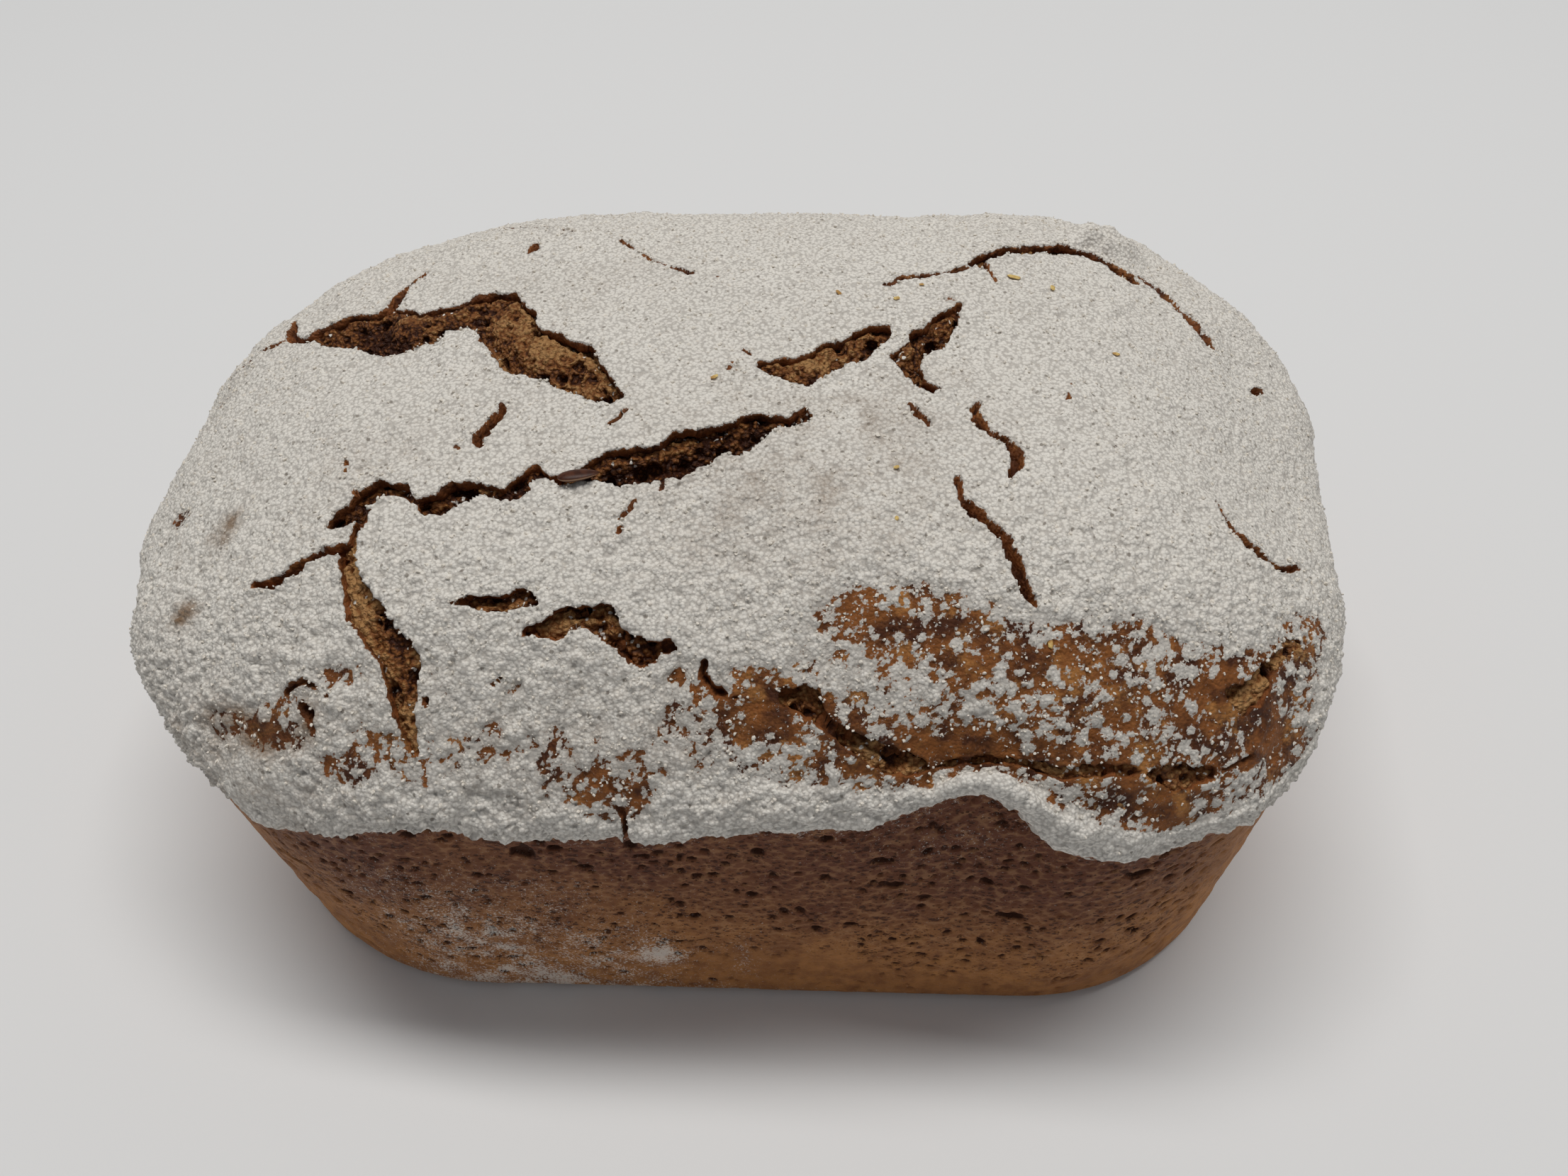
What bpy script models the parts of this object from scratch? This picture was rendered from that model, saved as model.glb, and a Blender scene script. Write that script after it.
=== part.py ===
"""A rye bread loaf, baked in a small tin, with a domed top that tore open while it baked.

One solid piece of bread. The drafted wall below the rim took the shape of the tin; above the rim
the dough rose freely into a low dome. The tears are cut into the dome with Boolean modifiers.
Sizes are in millimetres here and the mesh is in metres, +Z up. The origin is the middle of the
flat underside, +X is along the loaf and -Y is the side where the rim stands in a wave.
"""

import math

import bmesh
import bpy
from mathutils import Vector

MM = 0.001

# Driving sizes
RIM_LENGTH = 177.2
WIDTH = 124.0
RIM_HEIGHT = 48.0
DOME_RISE = 31.0
RIM_SHIFT = (-1.37, 0.0)
RIM_CORNERS = (51.0, 46.0, 30.0, 53.0)  # front left, front right, back right, back left
RIM_BULGES = (  # bearing and reach in degrees, outwards by
    (10.0, 11.0, 3.2),
    (27.0, 7.0, -3.6),
    (-12.0, 10.0, -2.5),
)
BASE_LENGTH = 162.6
BASE_WIDTH = 118.0
BASE_SHIFT = (-1.9, -0.9)
BASE_CORNERS = (45.0, 37.0, 36.0, 36.0)
BASE_EDGE_RADIUS = 3.0

# The dome: RIM_HEIGHT + DOME_RISE * (1 - share^CROWN)^(1/SHOULDER), share being 1 at the rim
CROWN = 2.65
SHOULDER = 2.35
FRONT_SHOULDER = 1.75  # softer, where the front of the dough slumped towards the rim
DOME_SHARES = (0.995, 0.985, 0.96, 0.92, 0.86, 0.78, 0.68, 0.56, 0.42, 0.26, 0.12)
LUMPS = (  # x, y, reach, rise
    (84.3, -16.0, 13.0, -6.0),
    (84.3, 10.0, 13.0, -5.0),
    (68.3, 42.0, 15.0, -3.0),
    (-83.7, -28.0, 13.0, -5.0),
    (-63.2, 38.0, 18.0, -1.0),
    (-1.2, -50.0, 30.0, 0.5),
)

# The rim: a lip that overhangs the wall, and at the front stands up in a wave with a hollow below
LIP_OVERHANG = 1.4
LIP_THICKNESS = 3.6
RIM_WAVES = (  # x, reach, rise
    (31.8, 6.1, 8.0),
    (22.3, 8.0, 1.6),
    (8.3, 13.0, 4.2),
    (-15.7, 12.0, 1.2),
    (-37.7, 9.0, 3.0),
    (53.3, 5.0, -1.5),
    (-61.7, 12.0, -1.5),
)
WAVE_X = 31.8
WAVE_REACH = 8.0
WAVE_HOLLOW = 2.0
WAVE_LEAN = 3.0
LEANING_RINGS = 4
FRONT_FADE = (-36.0, -54.0)  # across this stretch the waves of the front rim come in
WALL_SHARES = (0.25, 0.5, 0.75)

LONG_STEPS = 20
SHORT_STEPS = 6
CORNER_STEPS = 12
EDGE_STEPS = 4

# Tears: from one end to the other, the point on the front lip and the point on the back lip
BIG_TEAR = (
    ((-69.9, 11.0), (-69.9, 12.3)),
    ((-67.2, 10.2), (-67.5, 12.8)),
    ((-63.6, 7.0), (-64.2, 14.8)),
    ((-57.6, 4.6), (-57.1, 15.0)),
    ((-53.6, 1.8), (-51.6, 13.4)),
    ((-48.6, 1.8), (-47.6, 12.0)),
    ((-43.6, 3.6), (-42.6, 13.4)),
    ((-39.4, 4.4), (-36.1, 14.2)),
    ((-36.6, 0.8), (-31.4, 9.0)),
    ((-34.0, -3.6), (-29.2, 4.0)),
    ((-30.1, -7.4), (-24.6, 0.8)),
    ((-24.1, -10.6), (-19.6, -4.0)),
    ((-19.6, -13.0), (-16.4, -9.6)),
    ((-16.1, -14.8), (-14.5, -13.4)),
)
MIDDLE_TEAR = (
    ((-51.0, -32.2), (-51.2, -31.0)),
    ((-47.0, -31.4), (-48.0, -27.6)),
    ((-43.1, -29.0), (-43.6, -26.4)),
    ((-39.0, -31.0), (-39.2, -29.2)),
    ((-35.6, -32.2), (-35.9, -27.6)),
    ((-31.1, -29.6), (-31.6, -27.4)),
    ((-27.1, -29.8), (-27.1, -26.2)),
    ((-21.6, -28.2), (-21.0, -25.6)),
    ((-17.1, -27.6), (-16.1, -22.4)),
    ((-10.7, -28.0), (-10.7, -21.4)),
    ((-5.0, -26.4), (-5.7, -18.8)),
    ((-0.2, -23.8), (-0.6, -16.6)),
    ((4.2, -20.2), (3.8, -15.6)),
    ((8.9, -17.4), (8.2, -14.8)),
    ((10.3, -15.4), (9.3, -13.2)),
)
DOWN_TEAR = (
    ((-47.0, -31.0), (-45.2, -31.0)),
    ((-47.9, -36.5), (-45.9, -36.0)),
    ((-46.9, -41.7), (-43.4, -40.8)),
    ((-44.4, -46.2), (-40.0, -45.4)),
    ((-41.2, -49.8), (-36.2, -49.9)),
    ((-38.6, -54.7), (-35.9, -54.7)),
    ((-37.5, -57.8), (-36.0, -57.8)),
)
SHELF_TEAR = (
    ((-23.2, -46.8), (-23.0, -46.3)),
    ((-19.0, -47.0), (-18.8, -44.2)),
    ((-14.5, -47.1), (-13.8, -44.3)),
    ((-10.1, -49.2), (-10.5, -46.7)),
    ((-3.6, -48.9), (-3.5, -47.9)),
)
WING_TEAR = (
    ((2.6, -6.2), (2.8, -4.0)),
    ((5.9, -7.4), (5.9, -3.4)),
    ((9.9, -9.6), (9.5, -2.2)),
    ((13.8, -5.6), (12.9, 0.0)),
    ((18.0, -2.6), (16.8, 3.4)),
    ((21.2, 2.4), (20.0, 4.4)),
)
FORK_TEAR = (
    ((27.2, -9.8), (25.8, -10.2)),
    ((25.0, -6.6), (23.0, -6.6)),
    ((25.4, -2.6), (21.6, -1.4)),
    ((29.0, 0.6), (23.6, 2.4)),
    ((30.6, 5.0), (26.6, 5.4)),
    ((31.6, 10.4), (30.2, 10.0)),
)
BACK_TEAR = (
    ((33.2, 21.0), (33.0, 22.0)),
    ((39.4, 25.4), (38.6, 28.0)),
    ((45.8, 29.4), (45.2, 32.6)),
    ((52.4, 32.0), (52.2, 35.0)),
    ((57.2, 29.2), (58.2, 33.6)),
    ((61.0, 26.6), (61.4, 27.6)),
)
FRONT_TEAR = (
    ((6.9, -52.8), (7.2, -51.6)),
    ((13.2, -55.2), (12.9, -53.3)),
    ((20.4, -57.8), (20.6, -56.2)),
    ((28.4, -58.3), (28.6, -57.2)),
    ((40.4, -59.0), (40.4, -57.8)),
    ((50.4, -57.9), (50.1, -56.5)),
    ((59.8, -55.1), (59.4, -53.9)),
)
CORNER_TEAR = (
    ((62.9, -49.4), (61.1, -48.0)),
    ((67.5, -44.8), (65.1, -44.1)),
    ((70.9, -41.4), (69.5, -40.6)),
    ((73.1, -40.0), (72.5, -39.2)),
)
TEARS = {  # outline, greatest depth
    "big": (BIG_TEAR, 7.0),
    "middle": (MIDDLE_TEAR, 7.5),
    "down": (DOWN_TEAR, 2.2),
    "shelf": (SHELF_TEAR, 4.0),
    "wing": (WING_TEAR, 4.5),
    "fork": (FORK_TEAR, 4.5),
    "back": (BACK_TEAR, 3.5),
    "front": (FRONT_TEAR, 2.5),
    "corner": (CORNER_TEAR, 1.6),
}
DEPTH_PER_WIDTH = 0.95
FLOOR_SHARE = 0.4
CUTTER_TOP = RIM_HEIGHT + DOME_RISE + 8.0

CRUST_COLOUR = (0.42, 0.33, 0.24, 1.0)


def clear_scene():
    for old in list(bpy.data.objects):
        bpy.data.objects.remove(old)


def outline(length, width, corners, shift, inset=0.0, bulges=()):
    """Points round a rounded rectangle, counter-clockwise from its front left corner.

    Each corner is a quarter circle and each side a straight run, with the same number of steps on
    every outline, so that two outlines can be joined point to point. Each bulge then moves points
    straight out from the origin, by a bell over their bearing.
    """
    left, right = shift[0] - length / 2 + inset, shift[0] + length / 2 - inset
    front, back = shift[1] - width / 2 + inset, shift[1] + width / 2 - inset
    a, b, c, d = (radius - inset for radius in corners)
    centres = (
        (left + a, front + a, a, LONG_STEPS),
        (right - b, front + b, b, SHORT_STEPS),
        (right - c, back - c, c, LONG_STEPS),
        (left + d, back - d, d, SHORT_STEPS),
    )
    arcs = []
    for number, (x, y, radius, _) in enumerate(centres):
        turns = (math.pi + math.pi / 2 * (number + step / CORNER_STEPS) for step in range(CORNER_STEPS + 1))
        arcs.append([Vector((x + radius * math.cos(turn), y + radius * math.sin(turn))) for turn in turns])
    points = []
    for number, (*_, steps) in enumerate(centres):
        start, end = arcs[number][-1], arcs[(number + 1) % 4][0]
        points += arcs[number]
        points += [start.lerp(end, step / steps) for step in range(1, steps)]
    return [point * (1 + bulge(point, bulges) / point.length) for point in points]


def bell(distance, reach):
    return math.exp(-0.5 * (distance / reach) ** 2)


def bulge(point, bulges):
    """How far an outline is pushed out at a point, by its bearing from the origin."""
    bearing = math.degrees(math.atan2(point.y, point.x))
    return sum(most * bell((bearing - middle + 180) % 360 - 180, reach) for middle, reach, most in bulges)


def rim_outline(inset=0.0):
    return outline(RIM_LENGTH, WIDTH, RIM_CORNERS, RIM_SHIFT, inset, RIM_BULGES)


RIM = rim_outline()


def share_out(x, y):
    """How far a point lies out to the rim, 0 in the middle and 1 on it: the most over all its edges."""
    most = 0.0
    for here, after in zip(RIM, RIM[1:] + RIM[:1]):
        across = Vector((after.y - here.y, here.x - after.x))
        if across.length > 1e-6:
            most = max(most, across.dot((x, y)) / across.dot(here))
    return most


def at_front(y):
    """1 along the front rim and 0 elsewhere, with a smooth step between."""
    start, full = FRONT_FADE
    share = min(1.0, max(0.0, (start - y) / (start - full)))
    return share * share * (3 - 2 * share)


def wave(x, y):
    """Rise of the rim where it stands in waves, along the front only."""
    return at_front(y) * sum(most * bell(x - middle, reach) for middle, reach, most in RIM_WAVES)


def lean(x, y):
    """How far the lip leans inwards where it stands in its wave."""
    return WAVE_LEAN * bell(x - WAVE_X, WAVE_REACH) * at_front(y)


def dome_height(x, y, share):
    """Height of the top crust: the crown, its soft lumps, and the rim's wave fading inwards."""
    shoulder = SHOULDER + (FRONT_SHOULDER - SHOULDER) * at_front(y)
    height = RIM_HEIGHT + DOME_RISE * max(0.0, 1 - share**CROWN) ** (1 / shoulder)
    lumps = sum(rise * bell(math.hypot(x - a, y - b), reach) for a, b, reach, rise in LUMPS)
    return height + lumps * (1 - share**6) + wave(x, y) * share**40


def wall_rings():
    """Rings from the underside up the rounded bottom edge and the drafted wall to the lip."""
    base = (BASE_LENGTH, BASE_WIDTH, BASE_CORNERS, BASE_SHIFT)
    rings = []
    for step in range(EDGE_STEPS + 1):
        turn = math.pi / 2 * step / EDGE_STEPS
        inset = BASE_EDGE_RADIUS * (1 - math.sin(turn))
        height = BASE_EDGE_RADIUS * (1 - math.cos(turn))
        rings.append([(p.x, p.y, height) for p in outline(*base, inset=inset)])
    foot = outline(*base)
    neck = rim_outline(LIP_OVERHANG)
    neck_height = RIM_HEIGHT - LIP_THICKNESS
    for share in WALL_SHARES + (1.0,):
        ring = []
        for low, high in zip(foot, neck):
            spot = low.lerp(high, share)
            hollow = WAVE_HOLLOW * bell(spot.x - WAVE_X, WAVE_REACH) * share**6 * at_front(spot.y)
            rise = wave(high.x, high.y) * share**4
            height = BASE_EDGE_RADIUS + (neck_height - BASE_EDGE_RADIUS) * share + rise
            ring.append((spot.x, spot.y + hollow, height))
        rings.append(ring)
    return rings


def dome_rings():
    """Rings from the underside of the lip over the rim and up the dome."""
    rings = []
    for inset, drop in ((0.3, 0.6 * LIP_THICKNESS), (0.0, 0.0)):
        ring = rim_outline(inset)
        rings.append([(p.x, p.y, RIM_HEIGHT - drop + wave(p.x, p.y)) for p in ring])
    for share in DOME_SHARES:
        ring = []
        for spot in (point * share for point in RIM):
            ring.append((spot.x, spot.y, dome_height(spot.x, spot.y, share)))
        rings.append(ring)
    for number in range(LEANING_RINGS):
        rings[number] = [(x, y + lean(x, y), z) for x, y, z in rings[number]]
    return rings


def make_mesh(name, points, faces):
    mesh = bpy.data.meshes.new(name)
    mesh.from_pydata([tuple(MM * value for value in point) for point in points], [], faces)
    shell = bmesh.new()
    shell.from_mesh(mesh)
    bmesh.ops.recalc_face_normals(shell, faces=shell.faces)
    shell.to_mesh(mesh)
    shell.free()
    thing = bpy.data.objects.new(name, mesh)
    bpy.context.scene.collection.objects.link(thing)
    return thing


def make_loaf():
    """The whole loaf before it tears: its rings joined, closed flat below and at one point on top."""
    rings = wall_rings() + dome_rings()
    around = len(RIM)
    points = [point for ring in rings for point in ring]
    faces = [tuple(reversed(range(around)))]
    for level in range(len(rings) - 1):
        for here in range(around):
            after = (here + 1) % around
            low, high = level * around, (level + 1) * around
            faces.append((low + here, low + after, high + after, high + here))
    top = len(points)
    points.append((0.0, 0.0, dome_height(0.0, 0.0, 0.0)))
    last = (len(rings) - 1) * around
    faces += [(last + here, last + (here + 1) % around, top) for here in range(around)]
    return make_mesh("loaf", points, faces)


def make_cutter(name, stations, greatest_depth):
    """A wedge along a tear: upright from above the loaf down to the lips, then narrowing to its floor."""
    points = []
    for front, back in stations:
        front, back = Vector(front), Vector(back)
        middle = (front + back) / 2
        depth = min(greatest_depth, DEPTH_PER_WIDTH * (back - front).length)
        surface = dome_height(*middle, share_out(*middle))
        floor_front = middle.lerp(front, FLOOR_SHARE)
        floor_back = middle.lerp(back, FLOOR_SHARE)
        points += [
            (*front, CUTTER_TOP),
            (*front, surface),
            (*floor_front, surface - depth),
            (*floor_back, surface - depth),
            (*back, surface),
            (*back, CUTTER_TOP),
        ]
    sides = 6
    faces = [tuple(range(sides)), tuple(reversed(range(len(points) - sides, len(points))))]
    for station in range(len(stations) - 1):
        here, after = sides * station, sides * (station + 1)
        for side in range(sides):
            other = (side + 1) % sides
            faces.append((here + side, here + other, after + other, after + side))
    cutter = make_mesh(f"cutter_{name}", points, faces)
    cutter.hide_render = True
    cutter.display_type = "WIRE"
    return cutter


def tear(loaf, name, stations, depth):
    cut = loaf.modifiers.new(name, "BOOLEAN")
    cut.operation = "DIFFERENCE"
    cut.solver = "EXACT"
    cut.object = make_cutter(name, stations, depth)


def bread_material():
    """Matt floured crust, as one mean colour."""
    material = bpy.data.materials.new("rye_crust")
    material.use_nodes = True
    shader = material.node_tree.nodes["Principled BSDF"]
    shader.inputs["Base Color"].default_value = CRUST_COLOUR
    shader.inputs["Roughness"].default_value = 0.9
    shader.inputs["Metallic"].default_value = 0.0
    return material


clear_scene()
loaf = make_loaf()
loaf.data.materials.append(bread_material())
for polygon in loaf.data.polygons:
    polygon.use_smooth = len(polygon.vertices) < 5
for name, (stations, depth) in TEARS.items():
    tear(loaf, name, stations, depth)
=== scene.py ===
import math

import bmesh
import bpy
import numpy as np
from mathutils import Matrix, Vector


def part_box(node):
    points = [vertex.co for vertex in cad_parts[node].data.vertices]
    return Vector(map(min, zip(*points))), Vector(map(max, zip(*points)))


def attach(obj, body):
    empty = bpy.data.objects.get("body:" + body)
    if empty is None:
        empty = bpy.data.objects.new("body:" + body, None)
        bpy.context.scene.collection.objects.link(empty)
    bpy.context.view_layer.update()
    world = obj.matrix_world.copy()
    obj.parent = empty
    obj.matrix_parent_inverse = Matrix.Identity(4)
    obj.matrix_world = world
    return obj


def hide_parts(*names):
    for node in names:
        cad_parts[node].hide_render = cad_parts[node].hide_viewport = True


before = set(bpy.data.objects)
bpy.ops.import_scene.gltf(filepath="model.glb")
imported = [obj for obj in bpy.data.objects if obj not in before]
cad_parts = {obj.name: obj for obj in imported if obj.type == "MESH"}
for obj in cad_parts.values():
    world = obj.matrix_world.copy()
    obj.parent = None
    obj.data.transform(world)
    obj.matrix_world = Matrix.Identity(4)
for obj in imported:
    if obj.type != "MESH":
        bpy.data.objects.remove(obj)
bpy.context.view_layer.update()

MM = 0.001  # shapes are worked out in millimetres, and a mesh holds metres

# ---------------------------------------------------------------------------------------------
# The table: a sheet of matt white paper under a broad ceiling light, which hangs a little behind
# the loaf, so that its front wall is in shade. The camera looks down on the front from close by.


def add_node(tree, kind, inputs=None, **settings):
    """A shader node with its options, each input being a number, a colour or another node's output."""
    node = tree.nodes.new(kind)
    for option, value in settings.items():
        setattr(node, option, value)
    for socket, value in (inputs or {}).items():
        if isinstance(value, bpy.types.NodeSocket):
            tree.links.new(value, node.inputs[socket])
        else:
            node.inputs[socket].default_value = value
    return node


def new_material(name, **constants):
    """A material with one Principled shader, whose constants go straight onto its sockets."""
    material = bpy.data.materials.new(name)
    material.use_nodes = True
    shader = material.node_tree.nodes["Principled BSDF"]
    for socket, value in constants.items():
        shader.inputs[socket.replace("_", " ")].default_value = value
    return material, material.node_tree, shader


FLOOR_SIZE = 4.0
PAPER_COLOUR = (0.83, 0.83, 0.83, 1.0)
floor_mesh = bpy.data.meshes.new("paper")
half = FLOOR_SIZE / 2
floor_mesh.from_pydata([(-half, -half, 0), (half, -half, 0), (half, half, 0), (-half, half, 0)], [], [(0, 1, 2, 3)])
paper = bpy.data.objects.new("paper", floor_mesh)
bpy.context.scene.collection.objects.link(paper)
paper_material, paper_tree, paper_shader = new_material("white_paper", Base_Color=PAPER_COLOUR, Roughness=0.85)
floor_mesh.materials.append(paper_material)

CAMERA_DISTANCE = 0.2398
CAMERA_PITCH = math.radians(47.5)
CAMERA_YAW = -0.060
CAMERA_ROLL = -0.032
CAMERA_AIM = (0.00603, 0.02529)
CAMERA_LENS = 27.03
FRAME_SHIFT_X = -0.00115

turned = Matrix.Rotation(-CAMERA_YAW, 3, "Z")
right = Vector((1, 0, 0))
ahead = Vector((0, math.cos(CAMERA_PITCH), -math.sin(CAMERA_PITCH)))
above = right.cross(ahead)
aim = Vector((*CAMERA_AIM, 0))
rolled_right = math.cos(CAMERA_ROLL) * right + math.sin(CAMERA_ROLL) * above
rolled_above = math.cos(CAMERA_ROLL) * above - math.sin(CAMERA_ROLL) * right
camera_data = bpy.data.cameras.new("camera")
camera_data.lens = CAMERA_LENS
camera_data.sensor_width = 36.0
camera_data.clip_start = 0.005
camera = bpy.data.objects.new("camera", camera_data)
bpy.context.scene.collection.objects.link(camera)
facing = Matrix((turned @ rolled_right, turned @ rolled_above, turned @ -ahead)).transposed()
eye = turned @ (aim - CAMERA_DISTANCE * ahead) + Vector((FRAME_SHIFT_X, 0, 0))
camera.matrix_world = Matrix.Translation(eye) @ facing.to_4x4()
bpy.context.scene.camera = camera

LAMP_SIZE = (1.5, 0.30)
LAMP_AT = Vector((0.03, 0.23, 1.60))
LAMP_POWER = 18.0
lamp_data = bpy.data.lights.new("ceiling_light", "AREA")
lamp_data.shape = "RECTANGLE"
lamp_data.size, lamp_data.size_y = LAMP_SIZE
lamp_data.energy = LAMP_POWER
lamp_data.color = (1.0, 0.985, 0.96)
lamp = bpy.data.objects.new("ceiling_light", lamp_data)
lamp.location = LAMP_AT
lamp.rotation_euler = (Vector((0, 0, 0)) - LAMP_AT).to_track_quat("-Z", "Y").to_euler()
bpy.context.scene.collection.objects.link(lamp)

world = bpy.data.worlds.new("room")
world.use_nodes = True
world.node_tree.nodes["Background"].inputs["Color"].default_value = (0.93, 0.96, 1.0, 1.0)
world.node_tree.nodes["Background"].inputs["Strength"].default_value = 0.19
bpy.context.scene.world = world
bpy.context.scene.view_settings.view_transform = "Standard"

# ---------------------------------------------------------------------------------------------
# The dough's form, which every piece of crust and crumb below is laid on: a rounded rectangle at
# the rim, where the tin ended, and a low dome that rose freely above it. Same form as the solid.

loaf_low, loaf_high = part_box("loaf")
RIM_LENGTH, RIM_SHIFT = 177.2, -1.37
WIDTH = (loaf_high.y - loaf_low.y) / MM
RIM_HEIGHT = 48.0
DOME_RISE = (loaf_high.z - loaf_low.z) / MM - RIM_HEIGHT - 0.1
RIM_CORNERS = (51.0, 46.0, 30.0, 53.0)
RIM_BULGES = ((10, 11, 3.2), (27, 7, -3.6), (-12, 10, -2.5))  # bearing and reach in degrees, outwards by
CROWN, SHOULDER, FRONT_SHOULDER = 2.65, 2.35, 1.75
LUMPS = (  # x, y, reach, rise
    (84.3, -16, 13, -6.0), (84.3, 10, 13, -5.0), (68.3, 42, 15, -3.0), (-83.7, -28, 13, -5.0), (-63.2, 38, 18, -1.0),
    (-1.2, -50, 30, 0.5),
)
RIM_WAVES = (  # x, reach, rise
    (31.8, 6.1, 8.0), (22.3, 8.0, 1.6), (8.3, 13.0, 4.2), (-15.7, 12.0, 1.2), (-37.7, 9.0, 3.0),
    (53.3, 5.0, -1.5), (-61.7, 12.0, -1.5),
)
WAVE_X, WAVE_REACH, WAVE_LEAN = 31.8, 8.0, 3.5
FRONT_FADE = (-36.0, -54.0)


def bell(distance, reach):
    return np.exp(-0.5 * (distance / reach) ** 2)


def outline_table(length, width, corners, shift, bulges=()):
    """Turn, x and y round a rounded rectangle: quarter circles joined by straight sides.

    The turn counts corners passed, from the middle of the front left corner, 0 to 4. Each bulge
    then moves points straight out from the origin, by a bell over their bearing.
    """
    ends = np.array([[-1, -1], [1, -1], [1, 1], [-1, 1]])
    radii = np.array(corners)
    centres = np.array(shift) + ends * (np.array([length, width]) / 2 - radii[:, None])
    table = []
    for side in range(4):
        after = (side + 1) % 4
        quarter = np.linspace(0, np.pi / 4, 40)
        leaving = np.pi * (1.25 + side / 2) + quarter
        coming = np.pi * (1.0 + (side + 1) / 2) + quarter
        first = centres[side] + radii[side] * np.stack([np.cos(leaving), np.sin(leaving)], -1)
        last = centres[after] + radii[after] * np.stack([np.cos(coming), np.sin(coming)], -1)
        between = np.linspace(first[-1], last[0], 80)[1:-1]
        points = np.concatenate([first, between, last])
        bearing = np.degrees(np.arctan2(points[:, 1], points[:, 0]))
        out = sum(most * bell((bearing - middle + 180) % 360 - 180, reach) for middle, reach, most in bulges)
        points = points + (points.T * out / np.hypot(*points.T)).T
        run = np.concatenate([[0], np.cumsum(np.hypot(*np.diff(points, axis=0).T))])
        table.append(np.column_stack([side + run / run[-1], points])[:-1])
    return np.concatenate(table + [[[4.0, *table[0][0, 1:]]]])


RIM = outline_table(RIM_LENGTH, WIDTH, RIM_CORNERS, (RIM_SHIFT, 0.0), RIM_BULGES)
RIM_BEARING = np.unwrap(np.arctan2(RIM[:, 2], RIM[:, 1]))


def around(table, turn):
    """The point of an outline at each turn, and the unit normal there, which points outwards."""
    step = 0.004
    at, after, before = (np.mod(turn + change, 4.0) for change in (0, step, -step))
    x, y = (np.interp(at, table[:, 0], table[:, axis]) for axis in (1, 2))
    run_x, run_y = (
        np.interp(after, table[:, 0], table[:, axis]) - np.interp(before, table[:, 0], table[:, axis])
        for axis in (1, 2)
    )
    run = np.hypot(run_x, run_y)
    return x, y, run_y / run, -run_x / run


def to_rim(x, y):
    """The turn and the reach of the rim along the ray from the middle through each point."""
    bearing = RIM_BEARING[0] + np.mod(np.arctan2(y, x) - RIM_BEARING[0], 2 * np.pi)
    return np.interp(bearing, RIM_BEARING, RIM[:, 0]), np.interp(bearing, RIM_BEARING, np.hypot(RIM[:, 1], RIM[:, 2]))


def smooth_step(value, low, high):
    share = np.clip((value - low) / (high - low), 0, 1)
    return share * share * (3 - 2 * share)


def at_front(y):
    """1 along the front rim and 0 elsewhere, with a smooth step between."""
    return smooth_step(-y, -FRONT_FADE[0], -FRONT_FADE[1])


def wave(x, y):
    return at_front(y) * sum(most * bell(x - middle, reach) for middle, reach, most in RIM_WAVES)


def lean(x, y, share):
    """How far the crust near the front rim leans back, where the wave lifted it off the tin."""
    return WAVE_LEAN * bell(x - WAVE_X, WAVE_REACH) * at_front(y) * smooth_step(share, 0.82, 1)


def dome_height(x, y, share):
    """Rim height plus the crown (1 - share^CROWN)^(1/shoulder), soft lumps and the rim's wave."""
    shoulder = SHOULDER + (FRONT_SHOULDER - SHOULDER) * at_front(y)
    height = RIM_HEIGHT + DOME_RISE * np.maximum(0, 1 - share**CROWN) ** (1 / shoulder)
    lumps = sum(rise * bell(np.hypot(x - a, y - b), reach) for a, b, reach, rise in LUMPS)
    return height + lumps * (1 - np.minimum(share, 1) ** 6) + wave(x, y) * share**40


# ---------------------------------------------------------------------------------------------
# The top crust: baked rye dough, a millimetre thick, under a clumped coat of flour that was on the
# dough as it went in. It tore as the dough rose, and its lips stand a little proud of the tears.


def cell_numbers(cell, seed):
    """Four fixed random numbers from 0 to 1 for each whole-number cell, by mixing its three numbers."""
    mixed = (cell * np.array([73856093, 19349663, 83492791])).sum(-1).astype(np.uint64)
    mixed = mixed + np.uint64(seed * 2654435761)
    for shift, factor in ((30, 0xBF58476D1CE4E5B9), (27, 0x94D049BB133111EB), (31, 1)):
        mixed = (mixed ^ (mixed >> np.uint64(shift))) * np.uint64(factor)
    return (mixed[..., None] >> np.array([0, 16, 32, 48], np.uint64) & np.uint64(0xFFFF)) / 65536.0


def noise(points, size, seed=0):
    """Smooth random values, -1 to 1, over lumps of that size: cell corners blended three ways."""
    spot = points / size
    cell = np.floor(spot).astype(np.int64)
    part = spot - cell
    part = part * part * (3 - 2 * part)
    total = 0.0
    for corner in range(8):
        step = np.array([corner & 1, corner >> 1 & 1, corner >> 2])
        weight = np.prod(np.where(step, part, 1 - part), axis=-1)
        total = total + weight * cell_numbers(cell + step, seed)[..., 0]
    return 2 * total - 1


def rough(points, size, octaves, seed=0):
    """Layers of noise, each half the size and half the height of the one before."""
    return sum(noise(points, size / 2**k, seed + 7 * k) / 2**k for k in range(octaves))


def nearest_seed(points, size, seed=0):
    """Distance to the nearest of a set of scattered seeds, in cells, and that seed's own number."""
    spot = points / size
    cell = np.floor(spot).astype(np.int64)
    best = np.full(spot.shape[:-1], 9.0)
    own = np.zeros(spot.shape[:-1])
    for index in range(27):
        near = cell + np.array([index % 3, index // 3 % 3, index // 9]) - 1
        numbers = cell_numbers(near, seed)
        distance = np.sqrt(((near + numbers[..., :3] - spot) ** 2).sum(-1))
        closer = distance < best
        best = np.where(closer, distance, best)
        own = np.where(closer, numbers[..., 3], own)
    return best, own


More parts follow.
